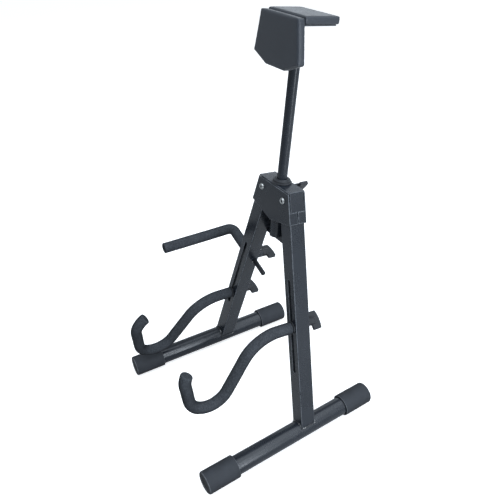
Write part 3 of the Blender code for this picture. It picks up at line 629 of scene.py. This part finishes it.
def arm_path(start, short):
    """World points of the side arm's middle line from a distance left of the leg's middle to the tip."""
    flat = [(start, 0.0)]
    run_straight(flat, 0.0, ARM_OUT - ARM_BEND_R - start)
    heading = run_arc(flat, 0.0, ARM_BEND_R, math.pi / 2, 0.0009)
    run_straight(flat, heading, ARM_FORWARD - ARM_BEND_R - short)
    place = arm_place()
    return [place @ Vector((-out, -forward, 0.0)) for out, forward in flat]


def path_lengths(path):
    total, lengths = 0.0, [0.0]
    for first, second in zip(path, path[1:]):
        total += (second - first).length
        lengths.append(total)
    return lengths


def point_along(path, lengths, reach):
    """The point at a distance along a path."""
    for k in range(1, len(path)):
        if lengths[k] >= reach:
            span = lengths[k] - lengths[k - 1]
            share = (reach - lengths[k - 1]) / span if span else 0.0
            return path[k - 1].lerp(path[k], share)
    return path[-1]


def round_stations(total, step, start_round, end_round):
    """Distances along a path and the share of the full radius lost there, for rounded ends."""
    quarter = 7
    stations = [(start_round * (1 - math.cos(k / quarter * math.pi / 2)),
                 start_round * (1 - math.sin(k / quarter * math.pi / 2))) for k in range(quarter + 1)]
    count = max(2, round((total - start_round - end_round) / step))
    length = total - start_round - end_round
    stations += [(start_round + length * k / count, 0.0) for k in range(1, count)]
    stations += [(total - end_round + end_round * math.sin(k / quarter * math.pi / 2),
                  end_round * (1 - math.cos(k / quarter * math.pi / 2))) for k in range(quarter + 1)]
    return stations


def foam_sleeve(name, node, path, radius, bore, bore_length, tip_round, seed):
    """A foam sleeve with a blind bore for its rod, a rounded tip and a gently uneven skin."""
    lengths = path_lengths(path)
    total = lengths[-1]
    uneven = bpy.context.scene.stand_foam.uneven
    places, radii = [], []

    def skin(place, loss, fade):
        def reach(angle):
            swell = noise.noise(place * 55.0 + Vector((seed, angle * 0.5, 0.0)))
            fine = noise.noise(place * 240.0 + Vector((math.cos(angle), math.sin(angle), seed)) * 1.7)
            return radius - loss + min(0.0, uneven * fade * (swell + 0.35 * fine) - uneven * 0.4)
        return reach

    # Blind bore, from its end back to the root, then the root's flat ring and the outer skin
    end = point_along(path, lengths, bore_length)
    places.append(end)
    radii.append(0)
    inner = 60
    for k in range(inner + 1):
        places.append(point_along(path, lengths, bore_length * (1 - k / inner)))
        radii.append(bore)
    root = bpy.context.scene.stand_foam.root_round
    for reach, loss in round_stations(total, 0.0016, root, tip_round):
        place = point_along(path, lengths, reach)
        places.append(place)
        radii.append(skin(place, loss, 1.0))
    places.append(path[-1])
    radii.append(0)
    # The bore runs backward, so the rings are made in two sweeps that share the root
    inner_shape = sweep(places[:inner + 2], radii[:inner + 2], 40)
    outer_shape = sweep(places[inner + 2:], radii[inner + 2:], 40)
    mesh = bpy.data.meshes.new("bore")
    inner_shape.to_mesh(mesh)
    inner_shape.free()
    outer_shape.from_mesh(mesh)
    open_edges = [edge for edge in outer_shape.edges if edge.is_boundary]
    bmesh.ops.bridge_loops(outer_shape, edges=open_edges)
    bmesh.ops.recalc_face_normals(outer_shape, faces=outer_shape.faces)
    obj = piece_from(outer_shape, name, "foam", BODY_OF[node], 60.0)
    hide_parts(node)
    return obj


def round_rod(name, node, path, radius, end_round):
    """A bent round rod with rounded ends."""
    lengths = path_lengths(path)
    stations = round_stations(lengths[-1], 0.0016, end_round, end_round)
    places = [path[0]] + [point_along(path, lengths, reach) for reach, loss in stations] + [path[-1]]
    radii = [0] + [radius - loss for reach, loss in stations] + [0]
    obj = piece_from(sweep(places, radii, 28), name, FINISH_OF[node], BODY_OF[node], 60.0)
    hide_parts(node)
    return obj


def foot_line(word):
    """The middle of a floor tube where its leg stands, and the tube's direction to the front."""
    up = LEG_UP[word]
    toe = math.asin(-BACKWARD.z * abs(up.x))
    return PIVOT[word] - up * LEG_LENGTH, Vector((SIDE[word] * math.sin(toe), -math.cos(toe), 0.0))


def weld_bead(word, seed):
    """A painted fillet weld where a leg stands on its floor tube."""
    rng = random.Random(seed)
    up = LEG_UP[word]
    right = BACKWARD.cross(up).normalized()
    foot, along = foot_line(word)
    half = LEG_SIDE / 2 + 0.0002
    corner = 0.0018
    reach = half - corner
    outline = []
    for quarter, (sx, sy) in enumerate(((1, 1), (-1, 1), (-1, -1), (1, -1))):
        for k in range(5):
            angle = (quarter + k / 4) * math.pi / 2
            outline.append((sx * reach + corner * math.cos(angle), sy * reach + corner * math.sin(angle)))
    points = []
    for first, second in zip(outline, outline[1:] + outline[:1]):
        span = math.dist(first, second)
        count = max(1, round(span / 0.0006))
        for k in range(count):
            x = first[0] + (second[0] - first[0]) * k / count
            y = first[1] + (second[1] - first[1]) * k / count
            start = foot + right * x + BACKWARD * y
            gap = start - foot
            flat = gap - along * gap.dot(along)
            rise = up - along * up.dot(along)
            a, b, c = rise.dot(rise), 2 * flat.dot(rise), flat.dot(flat) - FOOT_TUBE_R ** 2
            root = b * b - 4 * a * c
            if root <= 0:
                root = 0.0
            height = (-b + math.sqrt(root)) / (2 * a)
            outward = (right * x + BACKWARD * y).normalized()
            points.append(start + up * (height + 0.0003) + outward * 0.0002)
    shape = bmesh.new()
    sides = 10
    rings = []
    count = len(points)
    for k, place in enumerate(points):
        ahead = (points[(k + 1) % count] - points[k - 1]).normalized()
        across = ahead.cross(up).normalized()
        lift = across.cross(ahead).normalized()
        ripple = 0.82 + 0.18 * abs(math.sin(k * 0.9 + 0.4 * math.sin(k * 0.13)))
        width = 0.0013 * ripple * (0.92 + 0.16 * rng.random())
        rings.append([shape.verts.new(place + (across * math.cos(j / sides * math.tau)
                                               + lift * math.sin(j / sides * math.tau)) * width)
                      for j in range(sides)])
    for k in range(count):
        first, second = rings[k], rings[(k + 1) % count]
        for j in range(sides):
            n = (j + 1) % sides
            shape.faces.new((first[j], second[j], second[n], first[n]))
    bmesh.ops.recalc_face_normals(shape, faces=shape.faces)
    obj = piece_from(shape, word + "_weld", "weld", word + "_leg_frame", 80.0)
    return obj


def rubber_cap(node, middle, axis):
    """A floor tube's cap: rounded mouth, rounded end with a shallow dish, and a flat where it stands."""
    mouth, end = reach_along(node, middle, axis)
    obj = turned(node, middle, axis, (
        (CAP_BORE_R, mouth, 0.0003), (CAP_R, mouth, CAP_MOUTH_ROUND), (CAP_R, end, CAP_END_ROUND),
        (CAP_DISH_R + CAP_DISH / 2, end, 0.0004), (CAP_DISH_R, end - CAP_DISH, 0.0004), (0.0, end - CAP_DISH, 0.0),
        (0.0, end - CAP_FLOOR, 0.0), (CAP_BORE_R, end - CAP_FLOOR, 0.0)), 96, scuff_and_highlight=0.9)
    for vertex in obj.data.vertices:
        vertex.co.z = max(vertex.co.z, 0.0)
    return obj


def foam_pad(node, name, down, voxel, inset, frames, pressure):
    """A foam pad that cloth pressure fills out from a slightly smaller form, capped at its solid's faces."""
    source = NODES[node]
    obj = bpy.data.objects.new(name, source.data.copy())
    bpy.context.scene.collection.objects.link(obj)
    even = obj.modifiers.new("even", "REMESH")
    even.mode = "VOXEL"
    even.voxel_size = voxel
    settle(obj)
    mesh = obj.data
    mesh.shade_smooth()
    normals = [vertex.normal.copy() for vertex in mesh.vertices]
    glued = obj.vertex_groups.new(name="glued")
    for vertex, normal in zip(mesh.vertices, normals):
        if normal.dot(down) > 0.8:
            glued.add([vertex.index], 1.0, "REPLACE")
        else:
            vertex.co -= normal * inset
    start = [vertex.co.copy() for vertex in mesh.vertices]
    cloth = obj.modifiers.new("fill", "CLOTH")
    cloth.settings.use_pressure = True
    cloth.settings.uniform_pressure_force = pressure
    cloth.settings.effector_weights.gravity = 0.0
    cloth.settings.quality = 4
    cloth.settings.vertex_group_mass = "glued"
    cloth.point_cache.frame_start = 1
    cloth.point_cache.frame_end = frames
    scene = bpy.context.scene
    for step in range(1, frames + 1):
        scene.frame_set(step)
    settle(obj)
    scene.frame_set(1)
    for vertex, first in zip(obj.data.vertices, start):
        move = vertex.co - first
        if move.length > inset:
            vertex.co = first + move.normalized() * inset
    soften = obj.modifiers.new("soften", "SMOOTH")
    soften.factor = 0.5
    soften.iterations = 1
    finer = obj.modifiers.new("finer", "SUBSURF")
    finer.levels = 1
    finer.render_levels = 1
    settle(obj)
    obj.data.materials.clear()
    obj.data.materials.append(material_for("pad"))
    obj.data.shade_smooth()
    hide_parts(node)
    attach(obj, BODY_OF[node])
    return obj


# Settings that a user would change

class STAND_PG_metal(bpy.types.PropertyGroup):
    paint_color: bpy.props.FloatVectorProperty(name="Paint", description="Darkest tone of the powder coat",
                                               subtype="COLOR", size=3, min=0.0, max=1.0,
                                               default=(0.009, 0.012, 0.017))
    sheet_edge: bpy.props.FloatProperty(name="Sheet edge", description="Radius of the sheet metal's edges",
                                        default=0.0006, min=0.0001, max=0.0008, unit="LENGTH")
    seam: bpy.props.FloatProperty(name="Seam", description="How far the head's top stands back from its plates",
                                  default=0.0006, min=0.0, max=0.001, unit="LENGTH")
    tube_edge: bpy.props.FloatProperty(name="Tube edge", description="Radius of the tubes' cut edges",
                                       default=0.0004, min=0.0001, max=0.0005, unit="LENGTH")
    moulded_edge: bpy.props.FloatProperty(name="Moulded edge", description="Radius of edges on knobs and caps",
                                          default=0.00035, min=0.0001, max=0.001, unit="LENGTH")


class STAND_PG_foam(bpy.types.PropertyGroup):
    hook_round: bpy.props.FloatProperty(name="Hook tip", description="Rounding of the hooks' foam tips",
                                        default=0.0022, min=0.0005, max=0.006, unit="LENGTH")
    arm_round: bpy.props.FloatProperty(name="Arm tip", description="Rounding of the side arm's foam tip",
                                       default=0.0013, min=0.0005, max=0.004, unit="LENGTH")
    root_round: bpy.props.FloatProperty(name="Root", description="Rounding where a sleeve starts",
                                        default=0.0010, min=0.0003, max=0.002, unit="LENGTH")
    uneven: bpy.props.FloatProperty(name="Unevenness", description="Depth of the foam skin's slow waves",
                                    default=0.00022, min=0.0, max=0.001, unit="LENGTH")
    pad_swell: bpy.props.FloatProperty(name="Pad swell", description="How far pressure fills the pads out",
                                       default=0.0004, min=0.0002, max=0.003, unit="LENGTH")


class STAND_PG_light(bpy.types.PropertyGroup):
    ceiling: bpy.props.FloatProperty(name="Ceiling", description="Brightness of the broad light above",
                                     default=1.9, min=0.0)
    side: bpy.props.FloatProperty(name="Side", description="Brightness of the tall light on the right",
                                  default=12.0, min=0.0)
    back: bpy.props.FloatProperty(name="Back", description="Brightness of the low light behind the stand",
                                  default=1.4, min=0.0)
    wall: bpy.props.FloatProperty(name="Wall", description="Brightness of the wide light low on the right",
                                  default=1.2, min=0.0)
    room: bpy.props.FloatProperty(name="Room", description="Brightness of the pale room", default=0.40, min=0.0)
    tint: bpy.props.FloatVectorProperty(name="Tint", description="Colour of the daylight", subtype="COLOR", size=3,
                                        min=0.0, max=2.0, default=(0.88, 0.96, 1.05))
    bounce_left: bpy.props.FloatProperty(name="Bounce left", description="Light that the floor's left sends back",
                                         default=0.55, min=0.0, max=1.0)
    bounce_right: bpy.props.FloatProperty(name="Bounce right", description="Light that the floor's right sends back",
                                          default=0.7, min=0.0, max=1.0)
    floor_glow: bpy.props.FloatProperty(name="Floor glow", description="Light added to the floor in the picture",
                                        default=0.65, min=0.0, max=2.0)


# Operators

class STAND_OT_head(bpy.types.Operator):
    """Shapes the bent head, its guide sleeve, collar, nut and rivets"""
    bl_idname = "stand.head"
    bl_label = "Head"

    def execute(self, context):
        look = context.scene.stand_metal
        rounded_copy("head_top", look.sheet_edge, segments=3, scuff_and_highlight=0.4, trim=look.seam)
        for node in ("head_front_plate", "head_back_plate"):
            rounded_copy(node, look.sheet_edge, segments=3, scuff_and_highlight=0.7)
        for node in ("guide_sleeve", "height_clamp_nut"):
            rounded_copy(node, look.tube_edge)
        middle = (PIVOT["right"] + PIVOT["left"]) / 2
        base, rim = reach_along("mast_collar", middle, MAST_UP)
        body = rim - 0.0012
        turned("mast_collar", middle, MAST_UP, (
            (COLLAR_BORE_R, base, 0.0), (COLLAR_FLANGE_R, base, 0.0002), (COLLAR_FLANGE_R, base + 0.0012, 0.0004),
            (COLLAR_R, base + 0.0014, 0.0004), (COLLAR_R, body, 0.0011), (COLLAR_RING_R + 0.0014, body, 0.0003),
            (COLLAR_RING_R + 0.0006, body - 0.0006, 0.0003), (COLLAR_RING_R, rim, 0.0005),
            (COLLAR_BORE_R + 0.0006, rim, 0.0003), (COLLAR_BORE_R, body, 0.0002)), 96, scuff_and_highlight=0.7)
        for word in ("right", "left"):
            low, high = reach_along(word + "_pivot_bolt", PIVOT[word], BACKWARD)
            half = ((RIVET_STUB_R, high - 0.0010, 0.0003), (RIVET_STUB_R, high - 0.0020, 0.0002),
                    (RIVET_HOLE_R, high - 0.0020, 0.0002), (RIVET_HOLE_R + 0.0003, high - 0.0001, 0.0005),
                    (RIVET_R - 0.0012, high - 0.0006, 0.0010), (RIVET_R, high - 0.0024, 0.0004),
                    (RIVET_R, high - 0.0030, 0.0001), (RIVET_SHANK_R, high - 0.0030, 0.0))
            corners = ((0.0, high - 0.0010, 0.0),) + half + tuple((r, -y, e) for r, y, e in reversed(half))
            turned(word + "_pivot_bolt", PIVOT[word], BACKWARD, corners + ((0.0, low + 0.0010, 0.0),), 48,
                   hollow=RIVET_HOLE_R + 0.0002)
        return {"FINISHED"}


class STAND_OT_mast(bpy.types.Operator):
    """Shapes the sliding mast, its plug and the rest's bracket"""
    bl_idname = "stand.mast"
    bl_label = "Mast"

    def execute(self, context):
        look = context.scene.stand_metal
        rounded_copy("mast_tube", look.tube_edge)
        rounded_copy("mast_plug", look.tube_edge)
        rounded_copy("rest_bracket", look.sheet_edge)
        return {"FINISHED"}


def leg_light_and_scuffs(word):
    """Gives the mask of a leg's faces: a painted highlight along its corners with some scuffed paint, and painted light
    inside the tube, where it shows through the slot.
    """
    right = BACKWARD.cross(LEG_UP[word]).normalized()
    inside = LEG_SIDE / 2 - LEG_WALL * 0.7

    def light_and_scuffs_of(face):
        middle = face.calc_center_median() - PIVOT[word]
        # Inside the tube the coat is painted paler: painted light.
        if max(abs(middle.dot(right)), abs(middle.dot(BACKWARD))) < inside:
            return 0.25
        # Corner faces get a painted highlight with some scuffed paint.
        turned_away = min(abs(face.normal.dot(right)), abs(face.normal.dot(BACKWARD)))
        return 0.6 if turned_away > 0.35 else 0.0

    return light_and_scuffs_of


class STAND_OT_legs(bpy.types.Operator):
    """Shapes both legs and floor tubes and lays the welds between them"""
    bl_idname = "stand.legs"
    bl_label = "Legs"

    def execute(self, context):
        look = context.scene.stand_metal
        for word, seed in (("right", 11), ("left", 12)):
            rounded_copy(word + "_leg", look.tube_edge, sharp=40.0, scuff_and_highlight=0.8, worn_and_lit=leg_light_and_scuffs(word))
            rounded_copy(word + "_foot_tube", look.tube_edge)
            weld_bead(word, seed)
        rounded_copy("arm_clamp_nut", look.tube_edge)
        return {"FINISHED"}


class STAND_OT_caps(bpy.types.Operator):
    """Shapes the four rubber caps"""
    bl_idname = "stand.caps"
    bl_label = "Rubber caps"

    def execute(self, context):
        for word in ("right", "left"):
            middle, forward = foot_line(word)
            for end, axis in (("front", forward), ("rear", -forward)):
                rubber_cap("_".join((word, end, "cap")), middle, axis)
        return {"FINISHED"}


class STAND_OT_fasteners(bpy.types.Operator):
    """Shapes the washers, the wing nuts and the wing screws"""
    bl_idname = "stand.fasteners"
    bl_label = "Fasteners"

    def execute(self, context):
        look = context.scene.stand_metal
        for word in ("right", "left"):
            for end in ("front", "back"):
                rounded_copy("_".join((word, end, "washer")), look.tube_edge)
            rounded_copy(word + "_wing_nut", look.moulded_edge)
        rounded_copy("height_knob", look.moulded_edge)
        rounded_copy("side_arm_knob", look.moulded_edge)
        return {"FINISHED"}


class STAND_OT_hooks(bpy.types.Operator):
    """Makes the bent hook rods and their foam sleeves"""
    bl_idname = "stand.hooks"
    bl_label = "Hooks"

    def execute(self, context):
        look = context.scene.stand_foam
        for word, seed in (("right", 3.0), ("left", 8.0)):
            round_rod(word + "_hook_bar", word + "_hook_rod", hook_path(word, -STUD_END, ROD_SHORT), ROD_R, 0.0008)
            path = hook_path(word, HOOK_ROOT, 0.0)
            bore_length = path_lengths(hook_path(word, HOOK_ROOT, ROD_SHORT))[-1] + 0.0004
            foam_sleeve(word + "_hook_sleeve", word + "_hook_foam", path, FOAM_R, FOAM_BORE_R, bore_length,
                        look.hook_round, seed)
        return {"FINISHED"}


class STAND_OT_side_arm(bpy.types.Operator):
    """Makes the side arm's bent rod and its foam sleeve"""
    bl_idname = "stand.side_arm"
    bl_label = "Side arm"

    def execute(self, context):
        round_rod("side_arm_bar", "side_arm_rod", arm_path(-ARM_INNER_END, ROD_SHORT), ARM_ROD_R, 0.0018)
        path = arm_path(ARM_ROOT, 0.0)
        bore_length = path_lengths(arm_path(ARM_ROOT, ROD_SHORT))[-1] + 0.0004
        foam_sleeve("side_arm_sleeve", "side_arm_foam", path, ARM_FOAM_R, ARM_BORE_R, bore_length,
                    context.scene.stand_foam.arm_round, 5.0)
        return {"FINISHED"}


class STAND_OT_rest_pads(bpy.types.Operator):
    """Fills out the two foam pads of the rest"""
    bl_idname = "stand.rest_pads"
    bl_label = "Rest pads"

    def execute(self, context):
        swell = context.scene.stand_foam.pad_swell
        foam_pad("top_pad", "rest_top_foam", -MAST_UP, 0.0011, swell, 16, 5.0)
        foam_pad("front_pad", "rest_front_foam", BACKWARD, 0.0011, swell, 16, 5.0)
        return {"FINISHED"}


def softbox(name, place, aim, width, height, brightness):
    """A rectangular soft light of an even brightness, aimed at a point."""
    light = bpy.data.lights.new(name, "AREA")
    light.shape = "RECTANGLE"
    light.size = width
    light.size_y = height
    light.energy = brightness * math.pi * width * height
    light.color = bpy.context.scene.stand_light.tint
    obj = bpy.data.objects.new(name, light)
    obj.visible_camera = False
    bpy.context.scene.collection.objects.link(obj)
    obj.location = place
    obj.rotation_euler = (Vector(aim) - Vector(place)).to_track_quat("-Z", "Y").to_euler()
    return obj


def floor_material():
    """Pale floor: almost white to the eye, and darker on its left where it sends light back to the stand."""
    look = bpy.context.scene.stand_light
    mat, tree, shader, place = new_material("floor")
    tone = use_group(tree, "mottle", {"Vector": place, "Patches": 2.0, "Grain": 60.0, "Share of grain": 0.3,
                                      "Dark": (0.86, 0.86, 0.86), "Light": (0.90, 0.90, 0.90)})
    tree.links.new(tone["Color"], shader.inputs["Base Color"])
    shader.inputs["Roughness"].default_value = 0.9
    shader.inputs["Specular IOR Level"].default_value = 0.0
    shader.inputs["Emission Color"].default_value = (1.0, 1.0, 1.0, 1.0)
    shader.inputs["Emission Strength"].default_value = look.floor_glow
    apart = add_node(tree, "ShaderNodeSeparateXYZ", {"Vector": place})
    toward = arithmetic(tree, "ADD", apart.outputs["X"], arithmetic(tree, "MULTIPLY", apart.outputs["Y"], 1.1))
    bright = spread(tree, toward, -0.3, 0.9)
    sent = blend_colors(tree, bright, (look.bounce_left,) * 3, (look.bounce_right,) * 3)
    grey = add_node(tree, "ShaderNodeBsdfDiffuse", {"Color": sent})
    seen = tree.nodes.new("ShaderNodeLightPath").outputs["Is Camera Ray"]
    both = tree.nodes.new("ShaderNodeMixShader")
    tree.links.new(seen, both.inputs["Fac"])
    tree.links.new(grey.outputs["BSDF"], both.inputs[1])
    tree.links.new(shader.outputs["BSDF"], both.inputs[2])
    tree.links.new(both.outputs["Shader"], tree.nodes["Material Output"].inputs["Surface"])
    return mat


def studio_world():
    """A dim, even room that looks white behind the stand."""
    look = bpy.context.scene.stand_light
    world = bpy.data.worlds.new("studio")
    world.use_nodes = True
    tree = world.node_tree
    room = tree.nodes["Background"]
    room.inputs["Color"].default_value = (*look.tint, 1.0)
    room.inputs["Strength"].default_value = look.room
    backdrop = add_node(tree, "ShaderNodeBackground", {"Color": (1.0, 1.0, 1.0), "Strength": 1.0})
    seen = tree.nodes.new("ShaderNodeLightPath").outputs["Is Camera Ray"]
    both = add_node(tree, "ShaderNodeMixShader", {"Fac": seen})
    tree.links.new(room.outputs["Background"], both.inputs[1])
    tree.links.new(backdrop.outputs["Background"], both.inputs[2])
    tree.links.new(both.outputs["Shader"], tree.nodes["World Output"].inputs["Surface"])
    return world


class STAND_OT_stage(bpy.types.Operator):
    """Puts the stand on a pale floor in soft studio light, and places the camera"""
    bl_idname = "stand.stage"
    bl_label = "Stage"

    def execute(self, context):
        scene = context.scene
        look = scene.stand_light
        scene.view_settings.view_transform = "Standard"
        mesh = bpy.data.meshes.new("floor")
        shape = bmesh.new()
        bmesh.ops.create_grid(shape, x_segments=1, y_segments=1, size=8.0)
        shape.to_mesh(mesh)
        shape.free()
        floor = bpy.data.objects.new("floor", mesh)
        scene.collection.objects.link(floor)
        floor.location = (0, 0, -0.0002)
        mesh.materials.append(floor_material())
        scene.world = studio_world()
        softbox("ceiling_light", (1.0, 0.3, 2.2), (1.0, 0.3, 0), 3.4, 3.0, look.ceiling)
        softbox("side_light", (1.2, 0.22, 0.72), (0, 0, 0.3), 0.12, 1.4, look.side)
        softbox("wall_light", (1.8, 0.85, 0.7), (0, 0, 0.4), 1.5, 0.8, look.wall)
        softbox("back_light", (-1.75, 1.35, 0.8), (0, 0, 0.5), 1.6, 0.5, look.back)
        camera = bpy.data.cameras.new("camera")
        camera.sensor_width = 36.0
        camera.lens = 40.43
        camera.clip_start = 0.01
        obj = bpy.data.objects.new("camera", camera)
        scene.collection.objects.link(obj)
        azimuth, elevation, roll = math.radians(60.32), math.radians(33.59), math.radians(-2.08)
        back = Vector((math.sin(azimuth) * math.cos(elevation), -math.cos(azimuth) * math.cos(elevation),
                       math.sin(elevation)))
        right = Vector((math.cos(azimuth), math.sin(azimuth), 0.0))
        up = back.cross(right)
        across = right * math.cos(roll) + up * math.sin(roll)
        upward = up * math.cos(roll) - right * math.sin(roll)
        turn = Matrix((across, upward, back)).transposed().to_4x4()
        obj.matrix_world = Matrix.Translation((0.6217, -0.3388, 0.7676)) @ turn
        scene.camera = obj
        return {"FINISHED"}


STEPS = ("head", "mast", "legs", "caps", "fasteners", "hooks", "side_arm", "rest_pads", "stage")
SETTINGS = {
    "stand_metal": ("paint_color", "sheet_edge", "seam", "tube_edge", "moulded_edge"),
    "stand_foam": ("hook_round", "arm_round", "root_round", "uneven", "pad_swell"),
    "stand_light": ("ceiling", "side", "back", "wall", "room", "tint", "bounce_left", "bounce_right", "floor_glow"),
}


class STAND_PT_panel(bpy.types.Panel):
    """Sidebar panel of the stand's settings and steps"""
    bl_label = "Guitar stand"
    bl_idname = "STAND_PT_panel"
    bl_space_type = "VIEW_3D"
    bl_region_type = "UI"
    bl_category = "Stand"

    def draw(self, context):
        for group, names in SETTINGS.items():
            box = self.layout.box()
            for name in names:
                box.prop(getattr(context.scene, group), name)
        for step in STEPS:
            self.layout.operator("stand." + step)


CLASSES = (STAND_PG_metal, STAND_PG_foam, STAND_PG_light, STAND_OT_head, STAND_OT_mast, STAND_OT_legs, STAND_OT_caps,
           STAND_OT_fasteners, STAND_OT_hooks, STAND_OT_side_arm, STAND_OT_rest_pads, STAND_OT_stage, STAND_PT_panel)


def register():
    for cls in CLASSES:
        bpy.utils.register_class(cls)
    bpy.types.Scene.stand_metal = bpy.props.PointerProperty(type=STAND_PG_metal)
    bpy.types.Scene.stand_foam = bpy.props.PointerProperty(type=STAND_PG_foam)
    bpy.types.Scene.stand_light = bpy.props.PointerProperty(type=STAND_PG_light)


def unregister():
    for group in SETTINGS:
        delattr(bpy.types.Scene, group)
    for cls in reversed(CLASSES):
        bpy.utils.unregister_class(cls)


def main():
    register()
    bpy.ops.stand.head()
    bpy.ops.stand.mast()
    bpy.ops.stand.legs()
    bpy.ops.stand.caps()
    bpy.ops.stand.fasteners()
    bpy.ops.stand.hooks()
    bpy.ops.stand.side_arm()
    bpy.ops.stand.rest_pads()
    bpy.ops.stand.stage()


if __name__ == "__main__":
    main()
